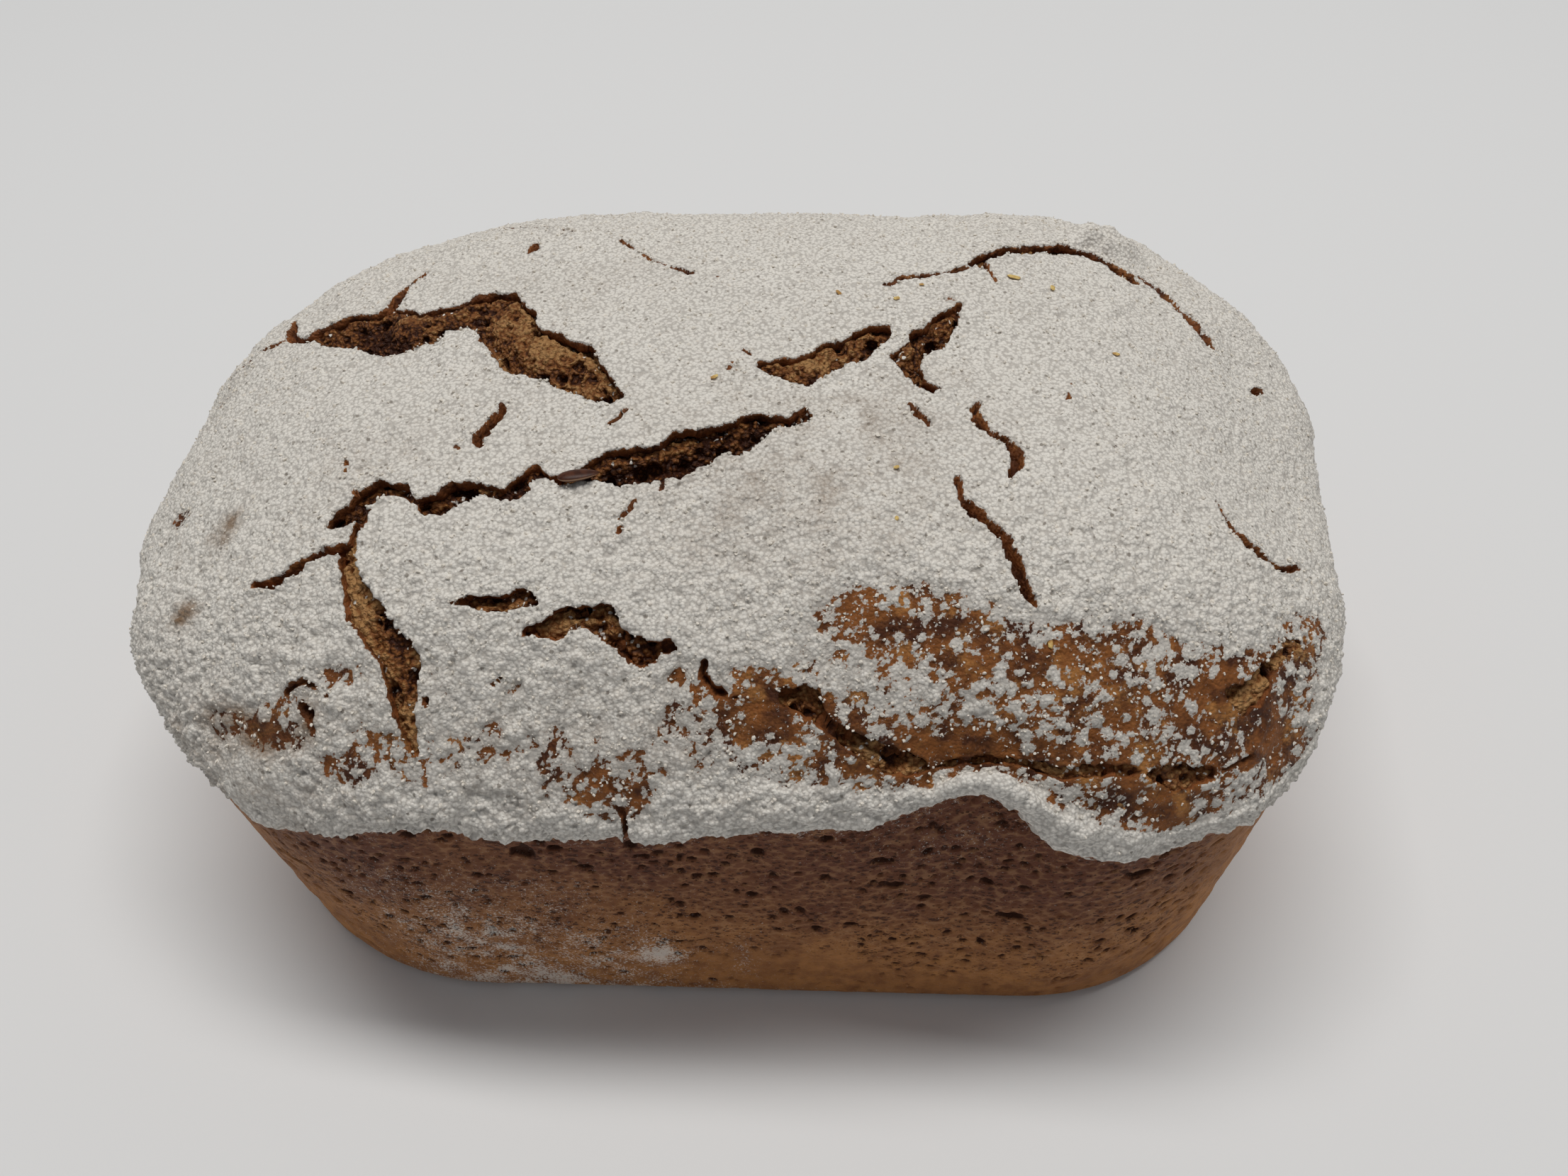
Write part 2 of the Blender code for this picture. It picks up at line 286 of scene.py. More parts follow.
# The wide tears: from one end to the other, the point on the front lip and on the back lip
BIG_TEAR = (
    ((-69.9, 11.0), (-69.9, 12.3)), ((-67.2, 10.2), (-67.5, 12.8)), ((-63.6, 7.0), (-64.2, 14.8)),
    ((-60.6, 5.8), (-61.6, 15.6)), ((-57.6, 4.6), (-58.1, 14.2)), ((-55.4, 3.0), (-55.9, 15.4)),
    ((-53.1, 1.6), (-52.1, 13.8)), ((-49.6, 1.6), (-48.9, 11.6)), ((-46.6, 2.3), (-46.2, 12.2)),
    ((-43.9, 2.6), (-43.2, 12.8)), ((-43.0, 4.6), (-41.2, 14.4)), ((-40.0, 5.0), (-38.2, 14.5)),
    ((-38.4, 3.6), (-35.0, 13.9)), ((-37.2, 1.2), (-32.6, 11.0)), ((-35.6, -1.0), (-30.4, 7.6)),
    ((-34.0, -3.6), (-29.4, 4.2)), ((-32.2, -6.4), (-27.2, 2.6)), ((-29.2, -7.6), (-24.0, 0.4)),
    ((-26.2, -9.0), (-20.8, -1.2)), ((-23.2, -11.0), (-19.0, -5.4)), ((-19.8, -12.9), (-16.6, -9.0)),
    ((-16.4, -14.4), (-14.2, -13.0)),
)
MIDDLE_TEAR = (
    ((-51.2, -32.4), (-51.4, -31.2)), ((-49.0, -32.6), (-49.2, -29.4)), ((-47.0, -31.8), (-47.9, -27.4)),
    ((-45.4, -30.2), (-45.2, -25.6)), ((-43.0, -29.0), (-43.0, -26.8)), ((-41.0, -29.6), (-41.2, -26.6)),
    ((-39.2, -30.2), (-39.4, -29.4)), ((-38.0, -32.3), (-37.2, -29.1)), ((-35.4, -32.3), (-35.2, -27.3)),
    ((-33.0, -30.8), (-33.2, -26.9)), ((-30.8, -29.3), (-30.8, -27.6)), ((-28.2, -30.6), (-28.4, -27.7)),
    ((-25.6, -29.8), (-26.2, -25.6)), ((-25.0, -27.2), (-24.8, -24.2)), ((-23.2, -27.0), (-22.5, -26.6)),
    ((-21.2, -28.4), (-20.0, -25.5)), ((-16.8, -27.3), (-16.2, -22.5)), ((-14.2, -27.9), (-13.5, -21.8)),
    ((-10.1, -28.4), (-9.4, -21.4)), ((-7.4, -27.6), (-8.1, -19.6)), ((-4.8, -26.4), (-4.8, -18.9)),
    ((-2.5, -25.0), (-2.5, -17.9)), ((-0.8, -23.2), (-0.2, -16.5)), ((1.1, -24.0), (1.8, -15.6)),
    ((3.8, -20.6), (4.6, -15.5)), ((7.2, -18.4), (6.9, -15.7)), ((9.8, -17.0), (8.5, -14.0)),
    ((10.3, -14.8), (9.3, -12.8)),
)
DOWN_TEAR = (
    ((-46.6, -30.6), (-45.0, -30.6)), ((-47.1, -34.0), (-45.9, -34.2)), ((-47.9, -37.0), (-45.5, -37.0)),
    ((-47.1, -39.5), (-44.1, -39.8)), ((-46.4, -42.2), (-42.6, -42.1)), ((-45.6, -45.0), (-40.4, -44.8)),
    ((-43.0, -47.3), (-38.0, -46.8)), ((-41.0, -49.5), (-36.0, -49.7)), ((-39.6, -52.1), (-36.2, -52.5)),
    ((-38.6, -54.9), (-36.0, -54.9)), ((-37.4, -57.4), (-36.0, -57.4)),
)
LADDER_TEAR = (
    ((-33.9, -44.4), (-33.5, -43.8)), ((-30.6, -44.5), (-31.0, -42.9)), ((-26.6, -44.8), (-26.6, -43.3)),
    ((-24.2, -44.4), (-24.6, -41.9)), ((-21.8, -44.1), (-21.8, -43.4)),
)
SHELF_TEAR = (
    ((-23.4, -46.8), (-23.2, -46.3)), ((-21.0, -47.0), (-20.6, -45.2)), ((-18.8, -46.9), (-18.4, -44.1)),
    ((-16.2, -46.6), (-16.2, -43.9)), ((-14.1, -47.2), (-13.1, -44.2)), ((-11.7, -48.8), (-11.5, -46.5)),
    ((-9.4, -49.6), (-8.7, -47.1)), ((-6.7, -48.9), (-6.2, -46.9)), ((-3.2, -48.8), (-3.2, -47.9)),
)
WING_TEAR = (
    ((2.1, -5.6), (2.6, -3.8)), ((4.9, -7.2), (5.3, -3.2)), ((7.8, -8.6), (7.9, -3.2)),
    ((9.9, -9.9), (9.8, -1.8)), ((11.9, -7.6), (11.5, 0.0)), ((14.7, -4.9), (13.9, 0.8)),
    ((17.6, -3.6), (15.7, 2.8)), ((18.8, -0.8), (17.8, 4.4)), ((21.2, 2.6), (20.8, 4.3)),
)
FORK_TEAR = (
    ((27.2, -9.4), (26.2, -10.2)), ((25.0, -8.0), (23.7, -8.6)), ((24.4, -5.2), (22.6, -6.2)),
    ((25.2, -2.4), (20.4, -2.4)), ((28.2, -0.4), (22.8, 0.4)), ((29.4, 1.8), (24.0, 2.9)),
    ((30.2, 4.8), (26.4, 4.8)), ((30.8, 8.0), (28.0, 7.6)), ((31.6, 10.6), (30.8, 10.6)),
)
BACK_TEAR = (
    ((33.2, 20.9), (33.0, 22.0)), ((36.4, 23.2), (35.6, 25.2)), ((39.4, 25.4), (38.6, 28.0)),
    ((42.4, 27.4), (41.8, 30.4)), ((46.0, 29.4), (45.2, 32.6)), ((49.6, 31.4), (49.2, 34.0)),
    ((52.4, 32.4), (52.2, 34.4)), ((54.6, 31.6), (54.8, 36.0)), ((57.0, 29.2), (58.2, 33.8)),
    ((59.0, 27.0), (60.6, 30.4)), ((60.9, 26.4), (61.4, 27.4)),
)
FRONT_TEAR = (
    ((6.9, -52.7), (7.2, -51.6)), ((10.8, -53.9), (11.2, -50.8)), ((13.8, -55.8), (12.8, -53.6)),
    ((20.0, -58.4), (20.0, -56.4)), ((25.0, -59.3), (25.0, -58.5)), ((29.4, -59.0), (29.4, -58.5)),
    ((34.4, -58.9), (34.4, -58.0)), ((40.0, -59.2), (40.0, -58.2)), ((47.1, -57.8), (47.0, -56.8)),
    ((54.1, -57.4), (54.0, -55.8)), ((60.0, -55.0), (59.6, -54.1)),
)
CORNER_TEAR = (
    ((62.8, -49.8), (60.6, -48.1)), ((65.3, -47.6), (63.9, -46.4)), ((67.5, -45.2), (65.5, -44.3)),
    ((69.3, -42.7), (67.9, -42.2)), ((71.5, -41.1), (70.1, -40.4)), ((73.1, -40.0), (72.5, -39.2)),
)
WIDE_TEARS = (  # outline, greatest depth, how light the crumb in it is
    (BIG_TEAR, 7.5, 0.66), (MIDDLE_TEAR, 9.0, 0.30), (DOWN_TEAR, 1.5, 0.92), (LADDER_TEAR, 3.5, 0.50),
    (SHELF_TEAR, 4.5, 0.50), (WING_TEAR, 5.0, 0.50), (FORK_TEAR, 5.5, 0.50), (BACK_TEAR, 4.5, 0.60),
    (FRONT_TEAR, 3.0, 0.60), (CORNER_TEAR, 1.2, 0.75),
)
# The narrow splits: x, y and half the width at each bend
SPLITS = (
    ((-69.9, 11.8, 0.8), (-72.1, 14.1, 1.0), (-73.0, 17.7, 0.9), (-74.2, 20.9, 0.5)),
    ((-54.9, 15.0, 1.2), (-55.0, 18.5, 1.1), (-54.2, 21.5, 0.7), (-52.1, 24.8, 0.5)),
    ((-70.2, 12.4, 0.6), (-72.4, 13.2, 0.6), (-76.2, 11.7, 0.5), (-79.4, 9.6, 0.45), (-81.8, 8.1, 0.3)),
    ((-53.8, -50.5, 0.3), (-50.9, -49.9, 0.35), (-49.6, -50.6, 0.3), (-47.0, -52.0, 0.3)),
    ((-51.2, -52.4, 0.7), (-50.2, -53.2, 1.0), (-49.8, -54.6, 0.5)),
    ((-31.3, -13.2, 0.2), (-31.2, -15.0, 0.8), (-32.5, -17.7, 0.9), (-33.5, -19.8, 0.8), (-32.5, -21.2, 0.2)),
    ((-36.2, -20.7, 0.5), (-35.5, -21.2, 0.4)),
    ((-14.3, -15.2, 0.4), (-15.1, -16.6, 0.3), (-16.2, -17.8, 0.4)),
    ((-47.2, -35.9, 0.8), (-50.9, -36.0, 0.7), (-54.6, -38.0, 1.2), (-56.6, -38.8, 0.9), (-59.9, -38.3, 0.4)),
    ((-47.9, -27.4, 0.4), (-49.1, -25.6, 0.25), (-50.6, -23.2, 0.2), (-51.4, -20.5, 0.1)),
    ((-12.9, -59.6, 0.3), (-12.6, -60.6, 0.5), (-11.7, -61.4, 0.7), (-11.9, -62.3, 0.5)),
    ((-8.2, -27.8, 0.5), (-8.1, -30.0, 0.3)),
    ((-11.5, -30.6, 0.3), (-12.0, -32.0, 0.5), (-13.0, -33.3, 0.4)),
    ((-12.8, -34.5, 0.4), (-12.8, -35.3, 0.3)),
    ((-37.1, -46.5, 0.2), (-35.9, -44.7, 0.15), (-33.6, -44.2, 0.3)),
    ((-35.1, -53.0, 0.5), (-34.8, -53.4, 0.3)),
    ((-26.0, -50.8, 0.5), (-27.8, -51.7, 0.3)),
    ((-1.3, -5.7, 0.6), (-1.0, -4.6, 0.2)),
    ((0.4, -1.2, 0.3), (1.2, -2.3, 0.5)),
    ((23.1, -12.8, 0.5), (24.0, -15.0, 0.6), (25.4, -16.8, 0.3)),
    ((32.2, -11.8, 0.5), (31.6, -13.4, 0.6), (32.1, -16.2, 0.9), (33.6, -17.8, 0.7), (35.4, -18.9, 0.8),
     (36.5, -20.8, 1.1), (36.2, -23.2, 0.9), (35.0, -25.9, 0.3)),
    ((28.6, -26.1, 0.4), (28.9, -29.3, 0.7), (30.8, -31.5, 1.0), (32.2, -33.0, 0.9), (34.0, -35.4, 0.7),
     (35.1, -38.4, 0.7), (35.6, -40.9, 0.7), (37.1, -43.0, 0.4)),
    ((62.6, -22.0, 0.3), (62.9, -23.8, 0.5), (64.0, -27.0, 0.7), (65.9, -29.0, 0.8), (68.9, -29.3, 0.8),
     (71.5, -29.8, 0.6), (74.6, -27.4, 0.4)),
    ((20.7, 14.6, 0.5), (23.0, 16.6, 0.8), (26.4, 17.9, 0.9), (29.6, 19.2, 0.6), (32.9, 20.8, 0.6)),
    ((35.2, 22.0, 0.9), (36.4, 19.6, 0.8), (37.1, 17.6, 0.3)),
    ((62.4, 30.6, 0.6), (63.6, 28.7, 1.1), (65.0, 25.4, 1.3), (66.8, 21.6, 1.1), (68.2, 18.6, 1.4),
     (69.6, 15.8, 1.2), (70.8, 13.6, 0.5)),
    ((66.8, 21.6, 0.4), (69.0, 21.8, 0.5), (70.6, 20.4, 0.2)),
    ((75.5, 7.4, 0.3), (78.3, 9.6, 0.6)),
    ((-21.0, 29.0, 0.3), (-17.6, 25.7, 0.4), (-15.0, 23.0, 0.3), (-12.2, 20.7, 0.4), (-10.1, 18.9, 0.5),
     (-8.6, 18.0, 0.5)),
    ((-6.2, 16.7, 0.3), (-3.9, 16.4, 0.3)),
    ((-43.6, 41.0, 0.4), (-37.6, 39.0, 0.4), (-29.6, 34.0, 0.4)),
    ((-35.1, 31.0, 0.6), (-35.2, 28.0, 0.8)),
    ((45.5, -5.6, 0.25), (44.9, -7.4, 0.35), (44.6, -9.4, 0.25)),
    ((50.6, -16.8, 0.3), (49.4, -17.8, 0.2)),
    ((-1.8, -49.2, 0.5), (-2.2, -50.4, 0.6), (-0.6, -51.8, 0.5), (2.4, -52.3, 0.3)),
    ((60.4, -54.6, 0.4), (64.3, -52.3, 0.3)),
    ((-13.7, -57.4, 0.2), (-12.7, -58.3, 0.35), (-13.3, -59.2, 0.3), (-12.1, -60.0, 0.45), (-12.8, -60.7, 0.4),
     (-11.8, -61.6, 0.3)),
    ((-12.6, -59.6, 0.3), (-10.6, -59.1, 0.25), (-9.8, -59.5, 0.1)), ((-13.1, -58.9, 0.2), (-15.1, -59.3, 0.1)),
)


def tear_distance(x, y, stations):
    """Signed distance to a tear's outline in plan, negative inside it.

    The distance is to the nearest edge. A point is inside where a ray from it crosses the outline
    an odd number of times.
    """
    outline = np.array([front for front, _ in stations] + [back for _, back in reversed(stations)])
    after = np.roll(outline, -1, axis=0)
    run = after - outline
    out_x, out_y = x[..., None] - outline[:, 0], y[..., None] - outline[:, 1]
    part = np.clip((out_x * run[:, 0] + out_y * run[:, 1]) / (run**2).sum(-1), 0, 1)
    distance = np.hypot(out_x - part * run[:, 0], out_y - part * run[:, 1]).min(-1)
    spans = (outline[:, 1] > y[..., None]) != (after[:, 1] > y[..., None])
    slope = run[:, 0] / np.where(run[:, 1] == 0, 1e-9, run[:, 1])
    crossings = (spans & (out_x < out_y * slope)).sum(-1)
    return np.where(crossings % 2 == 1, -distance, distance)


def split_distance(x, y, bends):
    """Distance to a split: to the nearest of its straight runs, less half the width there."""
    nearest = np.full(x.shape, 99.0)
    for (ax, ay, a_half), (bx, by, b_half) in zip(bends, bends[1:]):
        run_x, run_y = bx - ax, by - ay
        part = np.clip(((x - ax) * run_x + (y - ay) * run_y) / (run_x**2 + run_y**2), 0, 1)
        distance = np.hypot(x - ax - part * run_x, y - ay - part * run_y)
        nearest = np.minimum(nearest, distance - a_half - part * (b_half - a_half))
    return nearest


def near_to(shape, x, y, margin=5.0):
    """Which points lie within a margin of the box round a tear or a split."""
    corners = np.array(shape)[..., :2].reshape(-1, 2)
    low, high = corners.min(0) - margin, corners.max(0) + margin
    return (x > low[0]) & (x < high[0]) & (y > low[1]) & (y < high[1])


def least_distance(x, y, shapes, measure):
    """The least distance to any of several tears, worked out only near each of them."""
    nearest = np.full(x.shape, 5.0)
    for shape in shapes:
        near = near_to(shape, x, y)
        nearest[near] = np.minimum(nearest[near], measure(x[near], y[near], shape))
    return nearest


THIN_FLOUR = (  # x, y, reach along and across, turn in degrees, how much is missing
    (45.4, -50.8, 17, 5.5, 6, 0.57), (60.4, -51.7, 9, 5.0, 20, 0.34), (22.4, -44.6, 9, 3.5, -10, 0.40),
    (16.4, -42.7, 2.2, 1.2, 0, 0.35), (14.3, -55.3, 15, 3.5, -10, 0.54), (31.4, -47.2, 12, 4.0, 0, 0.30),
    (67.3, -47.0, 8, 5.0, 40, 0.38), (34.4, -57.6, 14, 2.2, 0, 0.50), (53.4, -59.6, 8, 2.5, 8, 0.55),
    (-57.6, -52.7, 11, 2.2, 12, 0.20), (-60.4, -52.4, 6.2, 0.9, -20, 0.56), (-78.5, -20.8, 1.6, 1.4, 0, 0.60),
    (75.3, -37, 6.0, 2.8, 50, 0.38), (74.6, -41, 3.0, 1.5, 70, 0.25),
    (-79.7, 5, 3.0, 2.0, 50, 0.35), (-15.7, -57.8, 18, 2.5, 3, 0.27), (3.4, -52.8, 7, 2.5, -10, 0.34),
    (-45.6, -49.8, 3.5, 1.0, 0, 0.3), (-41.6, -56.8, 8, 2.0, 0, 0.40), (10.3, -46.4, 6, 2.5, 0, 0.32),
    (-12.7, -59.5, 4, 1.6, 0, 0.40), (-51.0, -51.4, 4, 2.5, 0, 0.16), (-31.6, -50.8, 9, 4.0, 0, 0.22),
    (-66.0, -46.0, 9, 5.0, 30, 0.08), (-38.0, -56.0, 26, 3.5, 0, 0.08),
)
STAINS_AND_HOLLOW_SHADE = (  # x, y, reach along and across, turn in degrees, how much the crust shows through the flour; at (-68.3, -27.3) and (-50.2, -53.4) it is painted shade in a hollow
    (-68.3, -27.3, 1.9, 2.2, 0, 0.85), (-70.9, -38.3, 1.8, 1.4, 0, 0.60), (-60.0, -52.4, 6.6, 1.0, -20, 0.42),
    (-75.9, -28.2, 2.4, 0.4, -75, 0.60), (-50.2, -53.4, 1.2, 1.4, 0, 0.4), (8.0, -26.0, 16, 13, 0, 0.22),
    (-44.0, -20.0, 12, 8, 0, 0.10), (-66.0, -52.0, 14, 5, -25, 0.20), (-20.0, -56.0, 30, 5, 0, 0.14),
    (-30.0, 16.0, 14, 8, 0, 0.08), (19.0, -13.0, 7, 6, 0, 0.14),
)
FLAP = (-59.4, -56.6, 5.0, 1.6, -18)  # a thin flap of dough that lifted and dried smooth


def turned_bell(x, y, a, b, along, across, degrees, edge=1.0):
    """A bell of two reaches, turned; an edge above 1 flattens its top and makes it end faster."""
    bearing = math.radians(degrees)
    u = (x - a) * math.cos(bearing) + (y - b) * math.sin(bearing)
    v = (y - b) * math.cos(bearing) - (x - a) * math.sin(bearing)
    return np.exp(-0.5 * ((u / along) ** 2 + (v / across) ** 2) ** edge)


def flour_cover(x, y):
    """Flour on the crust, 1 where it is thick, less inside each thin patch (a turned bell)."""
    cover = np.ones_like(x)
    for *shape, missing in THIN_FLOUR:
        cover = cover - missing * turned_bell(x, y, *shape, edge=1.4)
    return np.maximum(cover, 0.12)


def surface_mesh(name, points, values, keep=None):
    """A mesh over a grid of points, with a named number at each, leaving out the faces not kept."""
    rows, columns = points.shape[:2]
    index = np.arange(rows * columns).reshape(rows, columns)
    corners = np.stack([index[:-1, :-1], index[1:, :-1], index[1:, 1:], index[:-1, 1:]], -1)
    corners = corners[keep] if keep is not None else corners.reshape(-1, 4)
    used, corners = np.unique(corners, return_inverse=True)
    corners = corners.reshape(-1, 4)
    mesh = bpy.data.meshes.new(name)
    mesh.vertices.add(len(used))
    mesh.vertices.foreach_set("co", (MM * points.reshape(-1, 3)[used]).astype(np.float32).ravel())
    mesh.loops.add(corners.size)
    mesh.loops.foreach_set("vertex_index", corners.astype(np.int32).ravel())
    mesh.polygons.add(len(corners))
    mesh.polygons.foreach_set("loop_start", np.arange(0, corners.size, 4, dtype=np.int32))
    mesh.update(calc_edges=True)
    mesh.shade_smooth()
    for label, number in values.items():
        attribute = mesh.attributes.new(label, "FLOAT", "POINT")
        attribute.data.foreach_set("value", number.reshape(-1)[used].astype(np.float32))
    return mesh


def add_piece(name, mesh, material):
    """The mesh as a piece of the loaf: it rides on the one body and stands for the one solid."""
    piece = bpy.data.objects.new(name, mesh)
    bpy.context.scene.collection.objects.link(piece)
    mesh.materials.append(material)
    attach(piece, "root")
    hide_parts("loaf")
    return piece


def surface_normal(points):
    """Unit normals of a grid of points, from the cross product of its two directions."""
    normal = np.cross(np.gradient(points, axis=0), np.gradient(points, axis=1))
    return normal / np.maximum(np.linalg.norm(normal, axis=-1, keepdims=True), 1e-9)


def slope_of(value, x, y):
    """The unit direction in plan in which a value on a bent grid grows fastest."""
    x_a, x_b = np.gradient(x)
    y_a, y_b = np.gradient(y)
    area = x_a * y_b - x_b * y_a
    area = np.where(abs(area) < 1e-6, 1e-6, area)
    d_a, d_b = np.gradient(value)
    along, across = (d_a * y_b - d_b * y_a) / area, (d_b * x_a - d_a * x_b) / area
    steep = np.maximum(np.hypot(along, across), 0.3)
    return along / steep, across / steep, np.sqrt(abs(area))


DOME_CELLS = np.array([310, 235])  # from the middle to the rim, along and across
LIP_CELLS = 12
LIP_INSET, LIP_DROP = 1.8, 2.6
LIP_TURN = math.radians(100)
CRUST_WALL = ((0.0, 0.3, 0.6, 0.9, 1.25), (0.0, 0.8, 1.5, 1.9, 2.0), (0.0, -0.05, 0.1, 0.6, 1.3))
SPLIT_DEPTH = 2.4
LIP_CURL = 0.45
KNOB = (57.4, 38.8, 2.9)  # x, y, rise: a flap that stood up behind the back tear
GRANULES = ((0.65, 0.26, 31), (1.1, 0.36, 32), (2.0, 0.36, 33))  # size, height, seed
COAT = 0.30
ROPE = 1.0  # extra thickness of the lip along the front rim, right of the wave

# A grid whose edge is bent onto the rim: each point is drawn in along its ray
half = DOME_CELLS + LIP_CELLS
column, row = np.meshgrid(*(np.arange(-cells, cells + 1.0) for cells in half), indexing="ij")
on_lip = np.minimum(np.minimum(half[0] - abs(column), half[1] - abs(row)), LIP_CELLS)
across, along = column / (half[0] - on_lip), row / (half[1] - on_lip)
outmost = np.maximum(abs(across), abs(along))
fold = LIP_TURN * (1 - on_lip / LIP_CELLS)
# Rings lie evenly along the dome's own profile, and so come close together at the steep shoulder
trial = 1 - np.linspace(1, 0, 2000) ** 3
profile = DOME_RISE * (1 - trial**CROWN) ** (1 / SHOULDER)
travelled = np.concatenate([[0], np.cumsum(np.hypot(np.diff(trial) * 72.0, np.diff(profile)))])
spread = np.interp(outmost * travelled[-1], travelled, trial)
square_x, square_y = across * RIM_LENGTH / 2, along * WIDTH / 2
turn, rim_reach = to_rim(square_x, square_y)
square_reach = np.hypot(square_x, square_y) / np.maximum(outmost, 1e-9)
square_reach[outmost == 0] = 1.0
drawn = spread * (1 - spread**3 * (1 - rim_reach / square_reach)) / np.maximum(outmost, 1e-9)
_, _, out_x, out_y = around(RIM, turn)
inset = LIP_INSET * (1 - np.cos(fold))
plan_x = square_x * drawn - inset * out_x
plan_y = square_y * drawn - inset * out_y
share = np.where(fold > 0, 1, np.minimum(np.hypot(plan_x, plan_y) / rim_reach, 1))

# Distance to the tears, with a frayed edge
plan = np.stack([plan_x, plan_y, np.zeros_like(plan_x)], -1)
fray, _ = nearest_seed(plan, 1.1, seed=13)
fray = 0.40 * rough(plan, 3.2, 3, seed=11) + 0.55 * (fray - 0.5)
wide = least_distance(plan_x, plan_y, [tear for tear, _, _ in WIDE_TEARS], tear_distance)
wide = wide + fray * smooth_step(4.0 - abs(wide), 0, 3)
narrow = least_distance(plan_x, plan_y, SPLITS, split_distance)
narrow = narrow + 0.7 * fray * smooth_step(4.0 - abs(narrow), 0, 3)
to_tear = np.minimum(wide, narrow)

# The nearest grid points are pulled onto the edge, and those just inside go down the crust's wall
edge_x, edge_y, cell = slope_of(to_tear, plan_x, plan_y)
wide_x, wide_y, _ = slope_of(wide, plan_x, plan_y)
at_edge = abs(to_tear) < 0.5 * cell
in_wide, in_split = np.maximum(-wide, 0), np.maximum(-narrow, 0)
drop = np.maximum(np.interp(in_wide, CRUST_WALL[0], CRUST_WALL[1]), SPLIT_DEPTH * smooth_step(in_split, 0, 0.8))
drop = np.where(at_edge, 0, drop) * (1 - 0.85 * smooth_step(np.degrees(fold), 5, 50))
pull = np.where(at_edge, np.clip(-to_tear, -0.25, 0.25), 0)
under = np.where(at_edge | (wide > 0), 0, in_wide + np.interp(in_wide, CRUST_WALL[0], CRUST_WALL[2]))
moved_x = plan_x + pull * edge_x + under * wide_x
moved_y = plan_y + pull * edge_y + under * wide_y
_, moved_reach = to_rim(moved_x, moved_y)
moved_share = np.where(fold > 0, 1, np.minimum(np.hypot(moved_x, moved_y) / moved_reach, 1))

lip_drop = LIP_DROP * np.sin(fold)
skin = np.stack([moved_x, moved_y + lean(moved_x, moved_y, moved_share),
                 dome_height(moved_x, moved_y, moved_share) - lip_drop], -1)
outward = surface_normal(
    np.stack([plan_x, plan_y + lean(plan_x, plan_y, share), dome_height(plan_x, plan_y, share) - lip_drop], -1)
)

# Flour lies in granules of three sizes, each kept or missing by its own number, over a thick coat
cover = flour_cover(plan_x, plan_y)
cover = cover + 0.22 * rough(skin, 5.0, 3, seed=41) * smooth_step(1.05 - cover, 0, 0.3)
lip_limit = np.degrees(fold) + 12 * rough(skin, 6.0, 4, seed=47)
cover = cover - 1.2 * smooth_step(lip_limit, 8, 30)
rope_from = 0.9945 - 0.009 * bell(plan_x - 45, 6)
cover = cover + 0.8 * smooth_step(share, rope_from, rope_from + 0.003) * at_front(plan_y)
cover = cover - 1.4 * smooth_step(drop, 0.05, 0.35)
flour_depth = COAT * smooth_step(cover, 0.62, 0.88)
for size, height, seed in GRANULES:
    distance, own = nearest_seed(skin, size, seed=seed)
    present = smooth_step(1.05 * cover - own, 0.0, 0.06)
    flour_depth = flour_depth + height * np.clip(1 - (distance / 0.62) ** 2, 0, 1) * present * (0.4 + 1.1 * own)
pit_distance, pit_size = nearest_seed(skin, 3.6, seed=53)
pit = np.clip(1 - pit_distance / (0.07 + 0.10 * pit_size), 0, 1) * (pit_size > 0.45)
relief = 0.55 * noise(skin, 13.0, seed=61) + 0.30 * rough(skin, 5.0, 3, seed=67)
smooth_flap = turned_bell(plan_x, plan_y, *FLAP, edge=1.6)
smooth_rope = 0.7 * smooth_step(share, 0.980, 0.997) * smooth_step(plan_x, -25, 15)
lumpy = (0.45 + 0.55 * smooth_step(plan_y, -15, -45) * (1 - smooth_rope)) * (1 - 0.85 * smooth_flap)
relief = relief + 0.10 * rough(skin, 1.2, 2, seed=71) + flour_depth * lumpy - 0.7 * pit - 0.40 - 0.35 * lumpy
relief = relief + 1.1 * smooth_flap
relief = relief + ROPE * bell(plan_x - 42, 9) * bell(share - 0.995, 0.008) * at_front(plan_y)
clumps = 0.55 * (1 - abs(rough(skin, 4.5, 3, seed=77))) * smooth_step(plan_y, -38, -52)
# Stains where the crust shows through the flour, and at two spots the painted shade of a hollow
stain_and_hollow_shade = sum(most * turned_bell(plan_x, plan_y, *shape, edge=1.2) for *shape, most in STAINS_AND_HOLLOW_SHADE)
stain_and_hollow_shade = stain_and_hollow_shade * (1 + 0.8 * rough(skin, 3.0, 3, seed=87)) + 0.07 * (1 + rough(skin, 6.0, 3, seed=89))
relief = relief + clumps + 0.6 * noise(skin, 7.0, seed=75) * smooth_step(share, 0.97, 1)
knob = bell(np.maximum(np.hypot((plan_x - KNOB[0]) / 1.5, plan_y - KNOB[1]) - 2.2, 0), 1.5)
relief = relief + KNOB[2] * knob * smooth_step(to_tear, 0.2, 2.2) * (1 + 0.25 * noise(skin, 2.0, seed=79))
relief = relief + LIP_CURL * np.exp(-np.maximum(to_tear, 0) / 1.4) * (0.6 + 0.5 * noise(skin, 6.0, seed=73))
skin = skin + outward * (relief - drop)[..., None]

keep_point = in_wide < 1.25
keep = keep_point[:-1, :-1] & keep_point[1:, :-1] & keep_point[1:, 1:] & keep_point[:-1, 1:]

